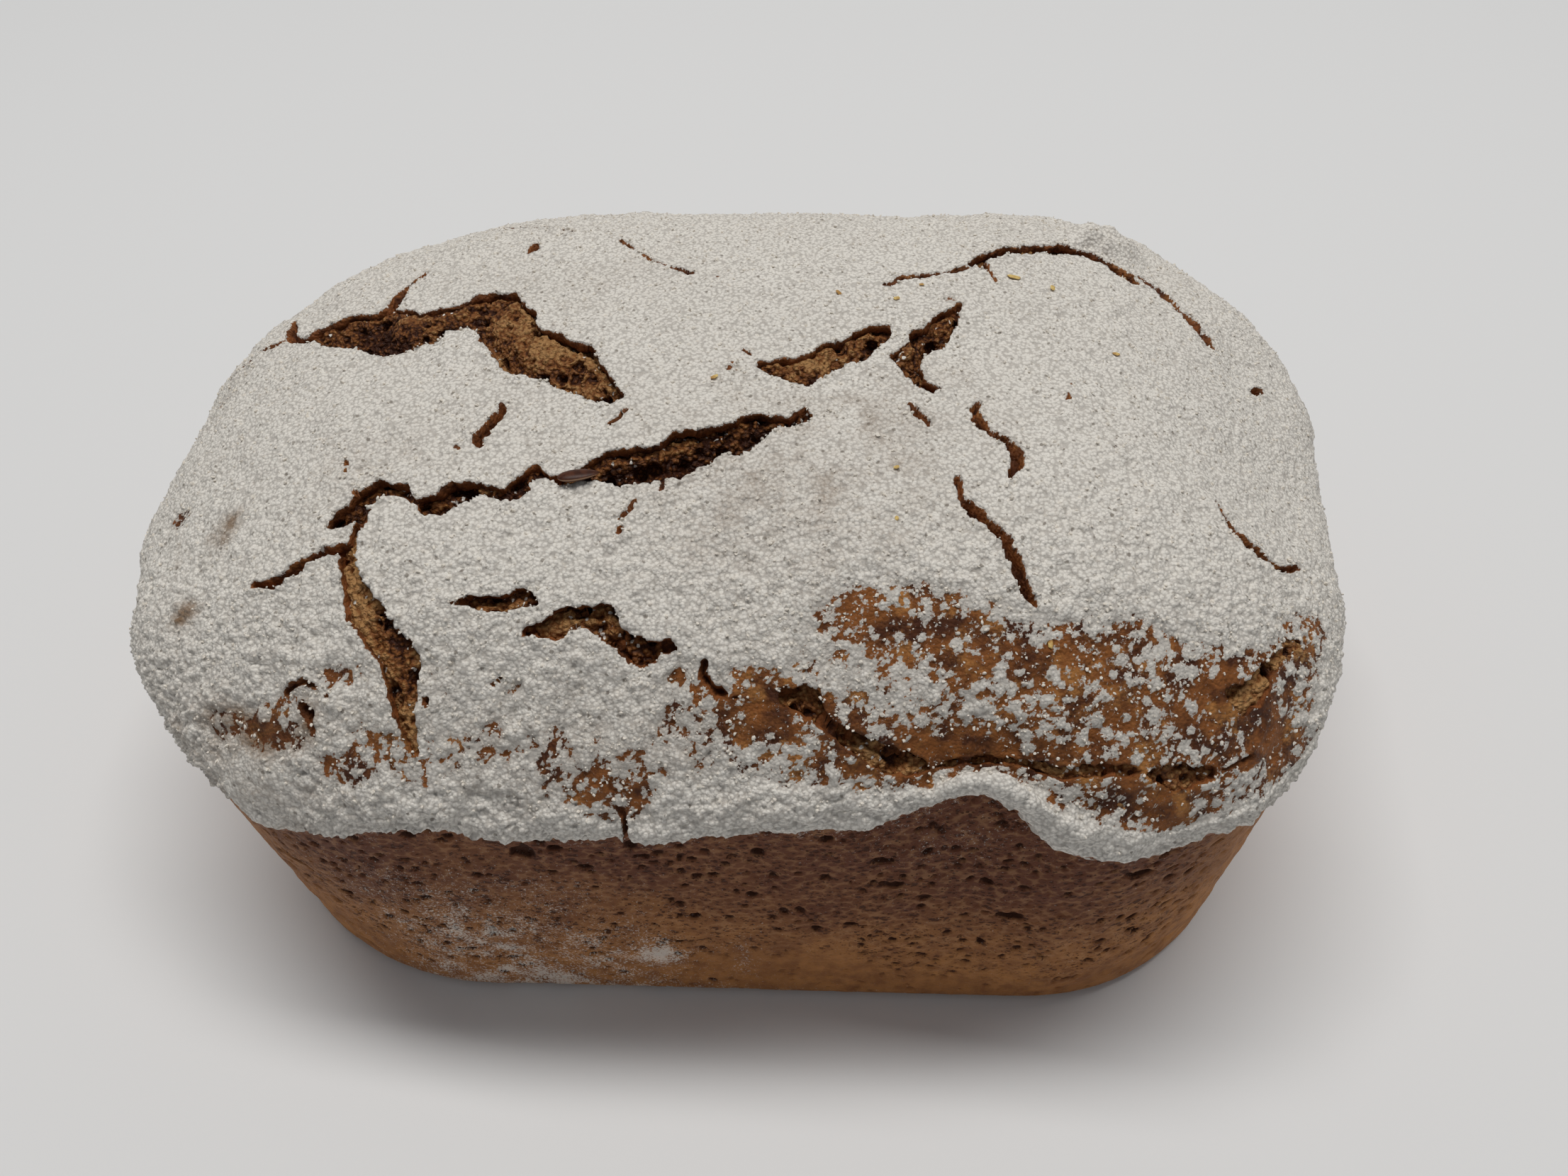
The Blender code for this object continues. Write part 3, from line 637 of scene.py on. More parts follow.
# Its colours: flour over brown crust, a dark line where the crust is torn through, then crumb
FLOUR_COLOUR = (0.97, 0.925, 0.85, 1.0)
FLOUR_PAINTED_SHADE = (0.66, 0.62, 0.565, 1.0)
PAINTED_PIT_SHADE = (0.20, 0.165, 0.13, 1.0)
CRUST_LIGHT = (0.46, 0.20, 0.055, 1.0)
CRUST_COLOUR = (0.28, 0.098, 0.024, 1.0)
CRUST_DARK = (0.070, 0.020, 0.007, 1.0)
TORN_COLOUR = (0.30, 0.100, 0.030, 1.0)
TORN_DARK = (0.075, 0.022, 0.008, 1.0)
STAIN_AND_SHADE_COLOUR = (0.27, 0.175, 0.105, 1.0)


def attribute(tree, name):
    return add_node(tree, "ShaderNodeAttribute", attribute_name=name).outputs["Fac"]


def object_noise(tree, per_metre, detail=3.0, roughness=0.6, distortion=0.0):
    """Noise on the object's own coordinates; per_metre is how many lumps go into a metre."""
    place = add_node(tree, "ShaderNodeTexCoord").outputs["Object"]
    return add_node(
        tree, "ShaderNodeTexNoise",
        {"Vector": place, "Scale": per_metre, "Detail": detail, "Roughness": roughness, "Distortion": distortion},
    ).outputs["Fac"]


def object_cells(tree, per_metre, stretch=(1, 1, 1)):
    """Distance to the nearest of scattered seeds, in cells, on the object's own coordinates."""
    place = add_node(tree, "ShaderNodeTexCoord").outputs["Object"]
    place = add_node(tree, "ShaderNodeMapping", {"Vector": place, "Scale": stretch}).outputs["Vector"]
    return add_node(tree, "ShaderNodeTexVoronoi", {"Vector": place, "Scale": per_metre}).outputs["Distance"]


def ranged(tree, value, low, high, start=0.0, end=1.0):
    """The value's range low to high, stretched to start to end and held there."""
    return add_node(
        tree, "ShaderNodeMapRange", {"Value": value, 1: low, 2: high, 3: start, 4: end},
        interpolation_type="SMOOTHSTEP",
    ).outputs["Result"]


def mixed(tree, share, first, second):
    """Colour that goes from the first to the second as the share goes from 0 to 1."""
    return add_node(tree, "ShaderNodeMix", {0: share, 6: first, 7: second}, data_type="RGBA").outputs[2]


def worked(tree, operation, first, second):
    return add_node(tree, "ShaderNodeMath", {0: first, 1: second}, operation=operation).outputs[0]


def bump(tree, height, distance, strength=1.0):
    node = add_node(tree, "ShaderNodeBump", {"Height": height, "Distance": distance, "Strength": strength})
    return node.outputs["Normal"]


crust_material, tree, shader = new_material("floured_crust", Roughness=0.9, Specular_IOR_Level=0.2)
grain = object_cells(tree, 2000)
fine = object_noise(tree, 1900, detail=5.0, roughness=0.75)
frayed = worked(tree, "MULTIPLY", worked(tree, "SUBTRACT", fine, 0.5), 3.6)
mask = ranged(tree, worked(tree, "ADD", attribute(tree, "flour"), frayed), 0.40, 0.60)
# Painted shade between the flour's granules: darker away from each granule's middle and where the coat is low. Where
# the coat is thin over the crust it is also the crust showing through.
painted_gap_shade_and_thin_flour = worked(tree, "ADD", ranged(tree, grain, 0.35, 0.75), ranged(tree, attribute(tree, "thick"), 0.40, 0.05))
flour_colour = mixed(tree, painted_gap_shade_and_thin_flour, FLOUR_COLOUR, FLOUR_PAINTED_SHADE)
# The stains brown the flour and darken the crust: crust showing through, and at two spots painted shade in a hollow
uneven = worked(tree, "ADD", attribute(tree, "stain_and_hollow_shade"), worked(tree, "SUBTRACT", fine, 0.5))
flour_colour = mixed(tree, ranged(tree, uneven, 0.0, 1.1), flour_colour, STAIN_AND_SHADE_COLOUR)
# Sparse dark specks: painted shade in tiny pits of the flour
specks = worked(tree, "ADD", object_cells(tree, 480), worked(tree, "MULTIPLY", fine, 0.35))
flour_colour = mixed(tree, ranged(tree, specks, 0.33, 0.26, 0.0, 0.7), flour_colour, PAINTED_PIT_SHADE)
browned = ranged(tree, object_noise(tree, 260, detail=5.0), 0.36, 0.60)
crust_colour = mixed(tree, browned, CRUST_DARK, CRUST_COLOUR)
golden = ranged(tree, object_noise(tree, 150, detail=5.0, roughness=0.7), 0.52, 0.68)
crust_colour = mixed(tree, golden, crust_colour, CRUST_LIGHT)
crust_colour = mixed(tree, ranged(tree, attribute(tree, "stain_and_hollow_shade"), 0.12, 0.4, 0.0, 0.55), crust_colour, CRUST_DARK)
reddish = ranged(tree, object_noise(tree, 420, detail=4.0, roughness=0.7), 0.38, 0.58)
torn_colour = mixed(tree, reddish, TORN_DARK, TORN_COLOUR)
crust_colour = mixed(tree, attribute(tree, "torn"), crust_colour, torn_colour)
# Deep in the narrow splits, where thick falls below zero, the crust goes to TORN_DARK: painted shade in the splits
crust_colour = mixed(tree, ranged(tree, attribute(tree, "thick"), -0.7, -1.9, 0.0, 0.8), crust_colour, TORN_DARK)
tree.links.new(mixed(tree, mask, crust_colour, flour_colour), shader.inputs["Base Color"])
tree.links.new(ranged(tree, mask, 0, 1, 0.45, 1.0), shader.inputs["Roughness"])
grains = worked(tree, "SUBTRACT", fine, worked(tree, "MULTIPLY", grain, 0.8))
tree.links.new(bump(tree, grains, 0.00028, 1.0), shader.inputs["Normal"])

torn = np.maximum(smooth_step(drop, 0.1, 0.4), smooth_step(lip_limit, 8, 30))
spilled = smooth_step(rough(skin, 1.6, 2, seed=85), 0.35, 0.8) * smooth_step(drop, 2.0, 0.6)
bare = np.minimum(flour_depth / 0.14, 1.2) - 2.2 * smooth_step(drop, 0.02, 0.3) * (1 - 0.75 * spilled)
thick = flour_depth - drop * smooth_step(in_split, 0.1, 0.5)
STRIPS = ("left", "middle_left", "middle_right", "right")
edges = np.linspace(0, 2 * half[0], len(STRIPS) + 1).astype(int)
for side, first, last in zip(STRIPS, edges, edges[1:]):
    part = slice(first, last + 1)
    values = {"flour": bare[part], "thick": thick[part], "torn": torn[part], "stain_and_hollow_shade": stain_and_hollow_shade[part]}
    mesh = surface_mesh(f"top_crust_{side}", skin[part], values, keep[first:last])
    add_piece(f"top_crust_{side}", mesh, crust_material)

# ---------------------------------------------------------------------------------------------
# Loose flour: clumps of a few grains each that lie on the top crust, most of them where the coat is
# thin. Each is a little icosahedron, squashed and turned its own way, and sunk into the surface.

CLUMPS = 9000
CLUMP_SIZE = (0.13, 0.34)  # half the width of the smallest and the largest
random = np.random.default_rng(5)
golden = (1 + 5**0.5) / 2
CORNERS = np.array([(-1, golden, 0), (1, golden, 0), (-1, -golden, 0), (1, -golden, 0), (0, -1, golden),
                    (0, 1, golden), (0, -1, -golden), (0, 1, -golden), (golden, 0, -1), (golden, 0, 1),
                    (-golden, 0, -1), (-golden, 0, 1)]) / math.hypot(1, golden)
FACES = np.array([(0, 11, 5), (0, 5, 1), (0, 1, 7), (0, 7, 10), (0, 10, 11), (1, 5, 9), (5, 11, 4), (11, 10, 2),
                  (10, 7, 6), (7, 1, 8), (3, 9, 4), (3, 4, 2), (3, 2, 6), (3, 6, 8), (3, 8, 9), (4, 9, 5),
                  (2, 4, 11), (6, 2, 10), (8, 6, 7), (9, 8, 1)])


def scattered(name, places, sizes, squash):
    """One mesh of many small lumps: an icosahedron each, with its corners moved at random."""
    count = len(places)
    shape = CORNERS * random.uniform(0.55, 1.45, (count, 12, 1)) * random.uniform(squash, 1.0, (count, 1, 3))
    turns = np.linalg.qr(random.normal(size=(count, 3, 3)))[0]
    turns = turns * np.sign(np.linalg.det(turns))[:, None, None]
    corners = places[:, None] + sizes[:, None, None] * np.einsum("nij,nkj->nki", turns, shape)
    faces = (FACES + 12 * np.arange(count)[:, None, None]).reshape(-1, 3)
    mesh = bpy.data.meshes.new(name)
    mesh.from_pydata((MM * corners.reshape(-1, 3)).tolist(), [], faces.tolist())
    return mesh


wanted = smooth_step(cover, 0.0, 0.25) * smooth_step(1.1 - cover, 0.0, 0.35) + 0.06 * (cover > 0.3)
wanted = wanted + 0.8 * bell(np.maximum(to_tear, 0), 0.5) * (cover > 0.5)
wanted = wanted * (cell**2) * (drop < 0.1) * (fold < 0.35) * (share > 0.02)
picked = random.choice(wanted.size, CLUMPS, replace=False, p=(wanted / wanted.sum()).ravel())
sizes = CLUMP_SIZE[0] + (CLUMP_SIZE[1] - CLUMP_SIZE[0]) * random.random(CLUMPS) ** 2
top_outward = surface_normal(skin).reshape(-1, 3)[picked]
places = skin.reshape(-1, 3)[picked] + random.uniform(-0.15, 0.15, (CLUMPS, 3)) + 0.05 * sizes[:, None] * top_outward
flour_material, tree, shader = new_material("dusting_flour", Base_Color=(0.80, 0.745, 0.66, 1.0), Roughness=1.0)
add_piece("flour_clumps", scattered("flour_clumps", places, sizes, 0.5), flour_material)

# ---------------------------------------------------------------------------------------------
# Bran: a few straw-yellow flakes of husk that came with the flour, thin, bent and lying flat.

BRAN = (  # x, y, length
    (39.9, 19.5, 2.6), (45.4, 17.5, 1.3), (52.9, 3.0, 1.3), (13.3, 12.0, 1.2), (21.9, 11.0, 1.1),
    (-3.1, -8.0, 1.5), (25.9, 15.0, 1.0), (20.9, -25.0, 1.1), (38.9, -46.5, 1.4), (20.9, -33.0, 1.0),
)


def on_top(x, y):
    """The point of the finished crust that lies nearest to a place in plan, and its normal."""
    nearest = np.argmin((skin[..., 0] - x) ** 2 + (skin[..., 1] - y) ** 2)
    return skin.reshape(-1, 3)[nearest], surface_normal(skin).reshape(-1, 3)[nearest]


flakes = []
for x, y, length in BRAN:
    spot, up = on_top(x, y)
    along = np.cross(up, random.normal(size=3))
    along = along / np.linalg.norm(along)
    frame_axes = np.stack([0.5 * length * along, 0.3 * length * np.cross(up, along), 0.12 * up])
    flakes.append(spot + 0.25 * up + (CORNERS * random.uniform(0.75, 1.2, (12, 1))) @ frame_axes)
bran_faces = (FACES + 12 * np.arange(len(BRAN))[:, None, None]).reshape(-1, 3)
bran_mesh = bpy.data.meshes.new("bran_flakes")
bran_mesh.from_pydata((MM * np.concatenate(flakes)).tolist(), [], bran_faces.tolist())
bran_material, tree, shader = new_material("bran", Roughness=0.6, Specular_IOR_Level=0.3)
straw = ranged(tree, object_noise(tree, 900), 0.35, 0.65)
tree.links.new(mixed(tree, straw, (0.44, 0.24, 0.07, 1.0), (0.74, 0.55, 0.20, 1.0)), shader.inputs["Base Color"])
add_piece("bran_flakes", bran_mesh, bran_material)

# ---------------------------------------------------------------------------------------------
# The flax seed: one whole brown seed, flat, glossy and drop-shaped, with a paler rim. It sits in
# the near side of the middle tear, its beak to the right.

SEED_AT = (-18.9, -27.0)
SEED_SIZE = (5.2, 2.5, 1.15)
SEED_TURN, SEED_TILT = math.radians(12), math.radians(-14)
around_it, along_it = np.meshgrid(np.linspace(0, 2 * np.pi, 49), np.linspace(0, np.pi, 33), indexing="ij")
# A circle's profile whose width tapers to the beak at one end; flat across
taper = np.sin(along_it) * (1 - 0.22 * np.cos(np.pi - along_it))
seed_x = -0.5 * SEED_SIZE[0] * np.cos(along_it)
seed_y = 0.5 * SEED_SIZE[1] * taper * np.cos(around_it)
seed_z = 0.5 * SEED_SIZE[2] * taper * np.sin(around_it) * (1 - 0.25 * np.cos(around_it) ** 4)
seed = np.stack([seed_x, seed_y, seed_z], -1)
tilted = np.array(Matrix.Rotation(SEED_TURN, 3, "Z") @ Matrix.Rotation(SEED_TILT, 3, "X"))
seed_share = math.hypot(*SEED_AT) / float(to_rim(np.array(SEED_AT[0]), np.array(SEED_AT[1]))[1])
seed_height = float(dome_height(np.array(SEED_AT[0]), np.array(SEED_AT[1]), seed_share))
seed = seed @ tilted.T + (*SEED_AT, seed_height + 0.2)


def weld(mesh):
    """Joins the points that coincide, at the seam and the poles of a mesh made over a grid."""
    shell = bmesh.new()
    shell.from_mesh(mesh)
    bmesh.ops.remove_doubles(shell, verts=shell.verts, dist=2e-6)
    bmesh.ops.recalc_face_normals(shell, faces=shell.faces)
    shell.to_mesh(mesh)
    shell.free()
    return mesh


seed_material, tree, shader = new_material("flax_seed", Roughness=0.42, Specular_IOR_Level=0.22)
rim_line = ranged(tree, attribute(tree, "rim"), 0.95, 0.995)
mottled = ranged(tree, object_noise(tree, 1300), 0.4, 0.6)
seed_colour = mixed(tree, mottled, (0.045, 0.014, 0.007, 1.0), (0.085, 0.027, 0.012, 1.0))
tree.links.new(mixed(tree, rim_line, seed_colour, (0.34, 0.21, 0.13, 1.0)), shader.inputs["Base Color"])
seed_mesh = weld(surface_mesh("flax_seed", seed, {"rim": abs(np.cos(around_it))}))
add_piece("flax_seed", seed_mesh, seed_material)

# ---------------------------------------------------------------------------------------------
# The crumb in the wide tears: moist rye crumb that pulled apart into ragged, porous slopes. It
# falls from the back lip to a dark gap along the front lip, which hides the deepest part.

CRUMB_CELL = 0.19
CRUMB_UNDER = 1.3  # how far it runs on under the crust
CRUMB_STEPS = ((0.0, 0.12, 0.5, 0.8, 1.0), (0.15, 0.25, 0.6, 1.0, 1.0))  # share across, share of depth
CRUMB_RISES = (  # x, y, reach, rise
    (-37.6, 8.5, 4.0, 3.0), (-33.1, 2.0, 4.0, 3.4), (-26.6, -4.5, 3.8, 3.2), (-20.1, -10.0, 3.0, 2.0),
    (-51.6, 8.5, 3.5, 2.6), (-45.6, 8.0, 3.5, 2.4), (-63.6, 11.0, 3.0, 2.0), (-58.6, 6.5, 2.2, -2.5),
    (-11.2, -26.8, 1.6, 3.5), (-8.2, -26.4, 1.4, 3.5), (10.3, -6.0, 2.5, 2.2), (15.8, -0.5, 2.0, 1.6),
    (23.0, 0.2, 1.8, 3.2), (26.0, 1.0, 1.5, -2.0), (28.9, 6.0, 2.0, 1.5),
)
PAINTED_CRUMB_SHADOWS = (  # x, y, reach, darker by: painted shade under the overhanging lips of the big tear and in the right strip of the down tear
    (-52.0, 14.0, 7.0, 0.25), (-40.0, 16.0, 4.0, 0.30),
    (-61.6, 10.0, 7.0, 0.38), (-47.6, 9.0, 6.0, 0.30), (-34.6, 12.0, 3.0, 0.2),
    (-40.9, -44.4, 1.2, 0.8), (-39.0, -47.2, 1.5, 1.0), (-37.1, -50.6, 1.3, 0.9),
)
low, high = np.array([-72.0, -62.0]), np.array([78.0, 36.0])
grid_x, grid_y = np.meshgrid(*(np.arange(a, b, CRUMB_CELL) for a, b in zip(low, high)), indexing="ij")
plan = np.stack([grid_x, grid_y, np.zeros_like(grid_x)], -1)
crumb_drop = np.zeros_like(grid_x)
crumb_light = np.zeros_like(grid_x)
inside = np.full(grid_x.shape, -9.0)
for stations, depth, light in WIDE_TEARS:
    near = near_to(stations, grid_x, grid_y, 3.0)
    x, y = grid_x[near], grid_y[near]
    distance = tear_distance(x, y, stations)
    front, back = ([(*pair[lip], 0.0) for pair in stations] for lip in (0, 1))
    to_front, to_back = split_distance(x, y, front), split_distance(x, y, back)
    deep = np.interp(to_back / (to_front + to_back + 1e-9), *CRUMB_STEPS) * smooth_step(-distance, -0.6, 2.2)
    start = np.minimum(1.35 + 0.6 * noise(plan[near], 4.0, seed=167), depth)
    start = 1.9 + (start - 1.9) * smooth_step(-distance, 0, 0.8)
    here = np.where(distance < 0, start + (depth - start) * deep, 1.9 + 0.2 * distance)
    closer = -distance > inside[near]
    crumb_drop[near] = np.where(closer, here, crumb_drop[near])
    crumb_light[near] = np.where(closer, light, crumb_light[near])
    inside[near] = np.maximum(inside[near], -distance)
crumb_drop = crumb_drop - smooth_step(inside, 0, 1.5) * sum(
    rise * bell(np.hypot(grid_x - a, grid_y - b), reach) for a, b, reach, rise in CRUMB_RISES
)
_, reach_here = to_rim(grid_x, grid_y)
share_here = np.minimum(np.hypot(grid_x, grid_y) / reach_here, 1)
crumb = np.stack([grid_x, grid_y + lean(grid_x, grid_y, share_here),
                  dome_height(grid_x, grid_y, share_here) - np.maximum(crumb_drop, 0.9)], -1)
outward = surface_normal(crumb)
kept = inside > -CRUMB_UNDER - 3 * CRUMB_CELL
spots = crumb[kept]
bubble_distance, bubble_size = nearest_seed(spots, 2.6, seed=131)
bubbles = np.clip(1 - (bubble_distance / (0.22 + 0.40 * bubble_size)) ** 2, 0, 1)
small_distance, small_size = nearest_seed(spots, 0.75, seed=137)
lumps = np.clip(0.6 - small_distance, 0, 1) * np.where(small_size > 0.35, 1.0, -1.1)
crumb_relief = 0.35 - 0.55 * abs(rough(spots, 2.2, 3, seed=139)) - 1.3 * bubbles + 0.50 * lumps
hollow = crumb_relief + 0.25 * noise(spots, 0.5, seed=141)
crumb[kept] = spots + outward[kept] * crumb_relief[:, None]
near_lip = smooth_step(inside[kept], 2.4, 0.3)
grains, grain_size = nearest_seed(spots, 0.6, seed=143)
dusty = 0.30 * near_lip + 0.35 * noise(spots, 3.5, seed=149) - 0.09
dust = np.zeros_like(grid_x)
dust[kept] = smooth_step(dusty - grain_size, 0, 0.1) * smooth_step(grains, 0.55, 0.3)
# The lightness holds painted shade: the patches above, darker in the crumb's hollows and bubbles, and darker the
# deeper the crumb lies. Its noise and each tear's own value are the crumb's tone
crumb_light = crumb_light - sum(
    darker * bell(np.hypot(grid_x - a, grid_y - b), reach) for a, b, reach, darker in PAINTED_CRUMB_SHADOWS
)
lightness = np.zeros_like(grid_x)
lightness[kept] = np.clip(
    crumb_light[kept] + 0.30 * rough(spots, 3.5, 3, seed=157) + 0.65 * hollow - 0.13 * (crumb_drop[kept] - 1.5), 0, 1
)

CRUMB_LIGHT = (0.50, 0.27, 0.105, 1.0)
CRUMB_RED = (0.25, 0.090, 0.024, 1.0)
CRUMB_DARK = (0.050, 0.013, 0.004, 1.0)
crumb_material, tree, shader = new_material("torn_crumb", Roughness=0.45, Specular_IOR_Level=0.25)
fine = object_noise(tree, 1700, detail=3.0, roughness=0.7)
grain = object_cells(tree, 1500)
spotted = worked(tree, "ADD", attribute(tree, "lightness"), worked(tree, "SUBTRACT", fine, grain))
base = mixed(tree, ranged(tree, spotted, 0.0, 0.5), CRUMB_DARK, CRUMB_RED)
base = mixed(tree, ranged(tree, spotted, 0.4, 1.1), base, CRUMB_LIGHT)
dusted = worked(tree, "ADD", attribute(tree, "dust"), worked(tree, "SUBTRACT", fine, 0.5))
base = mixed(tree, ranged(tree, dusted, 0.45, 0.7), base, FLOUR_COLOUR)
tree.links.new(base, shader.inputs["Base Color"])
tree.links.new(bump(tree, worked(tree, "SUBTRACT", fine, grain), 0.0007, 1.0), shader.inputs["Normal"])
keep_point = (inside > -CRUMB_UNDER) & (share_here < 0.982)
keep = keep_point[:-1, :-1] & keep_point[1:, :-1] & keep_point[1:, 1:] & keep_point[:-1, 1:]
mesh = surface_mesh("torn_crumb", crumb, {"lightness": lightness, "dust": dust}, keep)
add_piece("torn_crumb", mesh, crumb_material)

# ---------------------------------------------------------------------------------------------
# The wall: crust that set against the tin. It is smooth between countless small pores, where
# bubbles met the metal, and darkest just under the rim, with flour that ran down the front.

BASE_LENGTH, BASE_WIDTH = 162.6, 118.0
BASE_SHIFT = (-1.9, -0.9)
BASE_CORNERS = (45.0, 37.0, 36.0, 36.0)
BASE_EDGE = 3.0
NECK_INSET = 1.0
WALL_TOP = RIM_HEIGHT - 1.4
EDGE_SHARE = 0.10
WALL_PARTS = (  # name, first and last turn, cells round it and cells up it
    ("front_left", 0.0, 0.5, 250, 170), ("front_right", 0.5, 1.0, 250, 170), ("right", 1.0, 2.0, 250, 110),
    ("back", 2.0, 3.0, 230, 90), ("left", 3.0, 4.0, 250, 110),
)
PORES = (  # size, reach, depth, how few, seed
    (0.80, 0.40, 0.13, 0.05, 91), (1.7, 0.36, 0.50, 0.60, 97), (3.6, 0.24, 0.95, 0.55, 101),
)
SMUDGES = (  # x, z, reach along and up, thickness: flour that got down the front
    (-11.9, 15, 2.8, 2.2, 0.95), (-30.6, 6, 16, 5.5, 0.62), (0.7, 15, 1.2, 5.0, 0.42), (-43.0, 22, 9, 9.0, 0.40),
    (-26.0, 19, 13, 7.0, 0.48), (-11.7, 1, 26, 2.0, 0.46), (28.4, 46, 8, 4, 0.24), (-35.6, 34, 16, 5.0, 0.28),
)
SCARS = (  # x, z, reach along and up: where the crust stuck to the tin and a bit stayed behind
    (37.8, 28.6, 3.4, 0.9), (53.8, 38.5, 1.6, 0.7), (21.7, 36.5, 1.2, 0.7), (19.9, 43.1, 1.5, 0.8),
    (-26.1, 43.5, 1.6, 1.3), (-11.6, 46.4, 0.8, 1.6), (-10.6, 43.8, 1.4, 0.5), (-62.0, 30.0, 1.6, 0.8),
)
foot = outline_table(BASE_LENGTH, BASE_WIDTH, BASE_CORNERS, BASE_SHIFT)
rim_run = np.concatenate([[0], np.cumsum(np.hypot(*np.diff(RIM[:, 1:], axis=0).T))])


def wall_surface(turn, up):
    """Up the wall, 0 to 1: round the bottom edge on a quarter circle, then straight out to the neck."""
    round_part = np.clip(up / EDGE_SHARE, 0, 1) * np.pi / 2
    straight = np.clip((up - EDGE_SHARE) / (1 - EDGE_SHARE), 0, 1)
    foot_x, foot_y, foot_out_x, foot_out_y = around(foot, turn)
    neck_x, neck_y, neck_out_x, neck_out_y = around(RIM, turn)
    lift = wave(neck_x, neck_y)
    neck_y = neck_y + lean(neck_x, neck_y, 1.0) * straight**3
    neck_x, neck_y = neck_x - NECK_INSET * neck_out_x, neck_y - NECK_INSET * neck_out_y
    inset = BASE_EDGE * (1 - np.sin(round_part))
    x = foot_x + straight * (neck_x - foot_x) - inset * foot_out_x
    y = foot_y + straight * (neck_y - foot_y) - inset * foot_out_y
    z = BASE_EDGE * (1 - np.cos(round_part)) + (WALL_TOP - BASE_EDGE + lift * straight**3) * straight
    return np.stack([x, y, z], -1)


WALL_LIGHT = (0.57, 0.255, 0.082, 1.0)
WALL_DARK = (0.145, 0.047, 0.021, 1.0)
WALL_RAISED = (0.66, 0.36, 0.17, 1.0)
PAINTED_PORE_SHADE = (0.055, 0.016, 0.006, 1.0)
wall_material, tree, shader = new_material("tin_crust", Roughness=0.6, Specular_IOR_Level=0.15)
cells = object_cells(tree, 1000, (0.80, 0.80, 1.15))
uneven = worked(tree, "MULTIPLY", worked(tree, "SUBTRACT", object_noise(tree, 500, detail=5.0), 0.5), 1.1)
foam = ranged(tree, worked(tree, "ADD", cells, uneven), 0.17, 0.30)
finer = ranged(tree, worked(tree, "ADD", object_cells(tree, 1900, (0.85, 0.85, 1.1)), uneven), 0.12, 0.28)
foam = worked(tree, "MULTIPLY", foam, finer)
foamy = worked(tree, "MULTIPLY", attribute(tree, "foam"), worked(tree, "SUBTRACT", 1.0, foam))
base = mixed(tree, attribute(tree, "tone"), WALL_DARK, WALL_LIGHT)
base = mixed(tree, ranged(tree, object_noise(tree, 420, detail=5.0), 0.35, 0.70, 0.0, 0.55), base, WALL_DARK)
raised = worked(tree, "MULTIPLY", attribute(tree, "foam"), ranged(tree, cells, 0.50, 0.80))
base = mixed(tree, worked(tree, "MULTIPLY", raised, 0.24), base, WALL_RAISED)
# Painted shade in the pores: the small ones drawn by the shader, then the dug pores and scars, go near black, the
# deeper the darker
base = mixed(tree, worked(tree, "MULTIPLY", foamy, 0.80), base, PAINTED_PORE_SHADE)
base = mixed(tree, ranged(tree, attribute(tree, "pore"), 0.10, 0.4), base, PAINTED_PORE_SHADE)
fine = object_noise(tree, 2600, detail=3.0, roughness=0.75)
dusted = worked(tree, "MULTIPLY", worked(tree, "SUBTRACT", fine, 0.5), 3.4)
dusted = worked(tree, "ADD", attribute(tree, "smudge"), dusted)
base = mixed(tree, ranged(tree, dusted, 0.35, 0.95, 0.0, 0.62), base, FLOUR_COLOUR)
tree.links.new(base, shader.inputs["Base Color"])
relief_here = worked(tree, "SUBTRACT", fine, foamy)
tree.links.new(bump(tree, relief_here, 0.00035, 0.6), shader.inputs["Normal"])

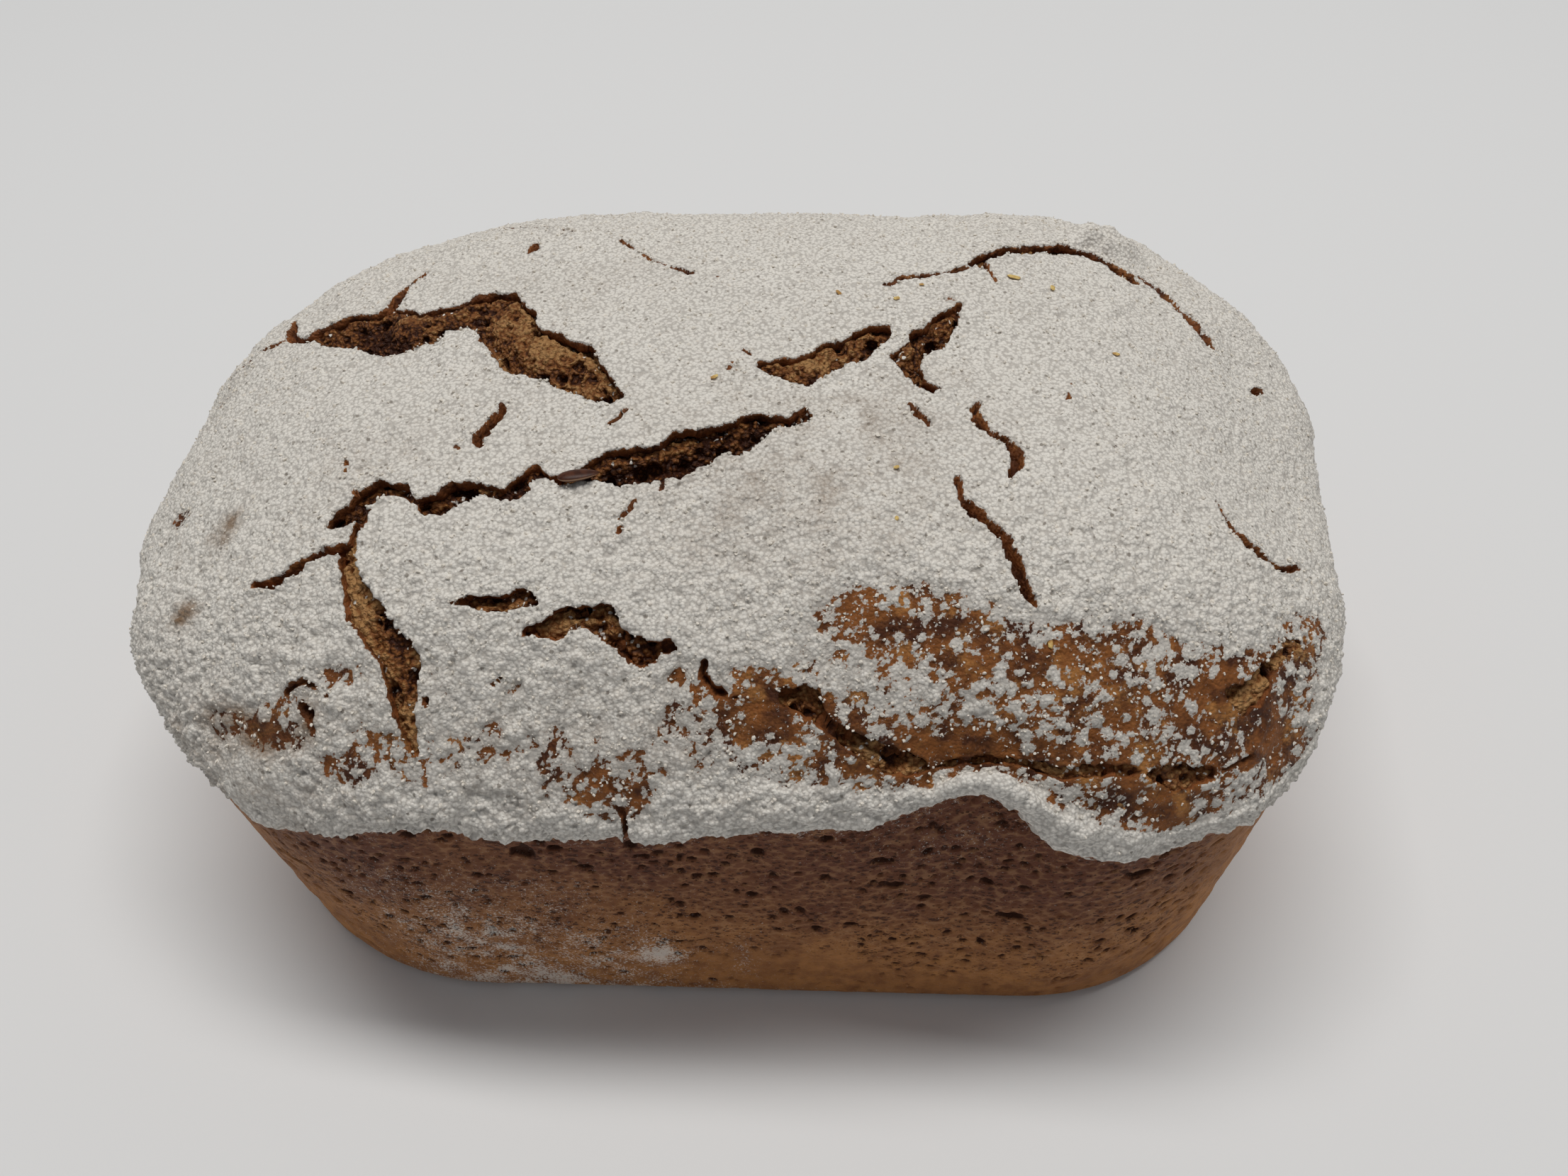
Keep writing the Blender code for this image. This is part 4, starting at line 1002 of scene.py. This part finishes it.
for side, first_turn, last_turn, cells_round, cells_up in WALL_PARTS:
    turn, up = np.meshgrid(np.linspace(first_turn, last_turn, cells_round + 1),
                           np.linspace(0, 1, cells_up + 1), indexing="ij")
    wall = wall_surface(turn, up)
    outward = surface_normal(wall)
    # Pores are stretched along the wall, so their seeds are read on coordinates squeezed that way
    unrolled = np.stack([np.interp(turn, RIM[:, 0], rim_run) * 0.80, wall[..., 2], 0 * turn], -1)
    unrolled = unrolled + 0.5 * np.stack([noise(wall, 2.5, seed=s) for s in (81, 82, 83)], -1) * (1, 1, 0)
    end = smooth_step(abs(wall[..., 0]), 52, 78)
    pores = np.zeros_like(turn)
    at_left = smooth_step(wall[..., 0], -30, -50) * smooth_step(wall[..., 2], 12, 24)
    for size, reach, depth, rarity, seed in PORES:
        distance, own = nearest_seed(unrolled, size, seed=seed)
        dug = smooth_step(reach * (0.5 + 0.7 * own) - distance, 0, 0.16)
        rare = rarity - 0.3 * at_left * (size > 1)
        pores = np.maximum(pores, depth * dug * (own > rare) * np.where(size < 2, 1 - 0.8 * end, 1))
    crowded = smooth_step(wall[..., 2] + 5 * rough(wall, 12.0, 3, seed=105), 6, 22)
    pores = pores * (0.45 + 0.55 * crowded)
    ragged = 1 + 0.5 * rough(wall, 1.5, 2, seed=115)
    for a, b, along, upward in SCARS:
        scar = np.exp(-0.5 * (((wall[..., 0] - a) / along) ** 2 + ((wall[..., 2] - b) / upward) ** 2))
        pores = np.maximum(pores, 0.8 * smooth_step(scar * ragged * (wall[..., 1] < -30), 0.45, 0.75))
    relief = 0.5 * noise(wall, 16.0, seed=103) + 0.22 * rough(wall, 4.0, 3, seed=107)
    wall = wall + outward * (relief * smooth_step(up, 0.0, 0.2) - pores)[..., None]
    wall[..., 2] = np.maximum(wall[..., 2], 0)
    smudge = sum(
        most * np.exp(-0.5 * (((wall[..., 0] - a) / along) ** 2 + ((wall[..., 2] - b) / upward) ** 2))
        for a, b, along, upward, most in SMUDGES
    ) * (wall[..., 1] < -40)
    specks = smooth_step(wall[..., 2] - wave(wall[..., 0], wall[..., 1]), WALL_TOP - 5, WALL_TOP)
    smudge = smudge * (0.9 + 0.5 * rough(wall, 2.5, 3, seed=109)) - 0.12
    smudge = smudge + 0.25 * specks * (1 + noise(wall, 2.0, seed=111))
    dark = smooth_step(wall[..., 2] + 5 * rough(wall, 16.0, 3, seed=113), 8, 42)
    # Painted shadow: darker still under the front lip that the wave lifted off the tin
    dark = dark + 0.25 * bell(wall[..., 0] - 30, 11) * smooth_step(wall[..., 2], 36, 50) * (wall[..., 1] < -30)
    tone = np.clip(0.66 - 0.64 * dark * (1 - 0.7 * end) + 0.36 * end + 0.12 * rough(wall, 6.0, 3, seed=127), 0, 1)
    foam = crowded * (1 - 0.85 * end)
    values = {"tone": tone, "pore": pores, "smudge": smudge, "foam": foam}
    add_piece(f"wall_{side}", surface_mesh(f"wall_{side}", wall, values), wall_material)

UNDER_RINGS, UNDER_SIDES = 40, 240
turn, share = np.meshgrid(np.linspace(0, 4, UNDER_SIDES + 1), np.linspace(0, 1, UNDER_RINGS + 1), indexing="ij")
foot_x, foot_y, out_x, out_y = around(foot, turn)
edge_x, edge_y = foot_x - BASE_EDGE * out_x, foot_y - BASE_EDGE * out_y
under = np.stack([share * edge_x, share * edge_y, 0 * share], -1)
under[..., 2] = 0.25 * (1 - share**8) * (1 + noise(under, 9.0, seed=163))
flat = {"tone": 0.6 + 0 * share, "pore": 0 * share, "smudge": 0 * share, "foam": 0.3 + 0 * share}
add_piece("underside", weld(surface_mesh("underside", under, flat)), wall_material)
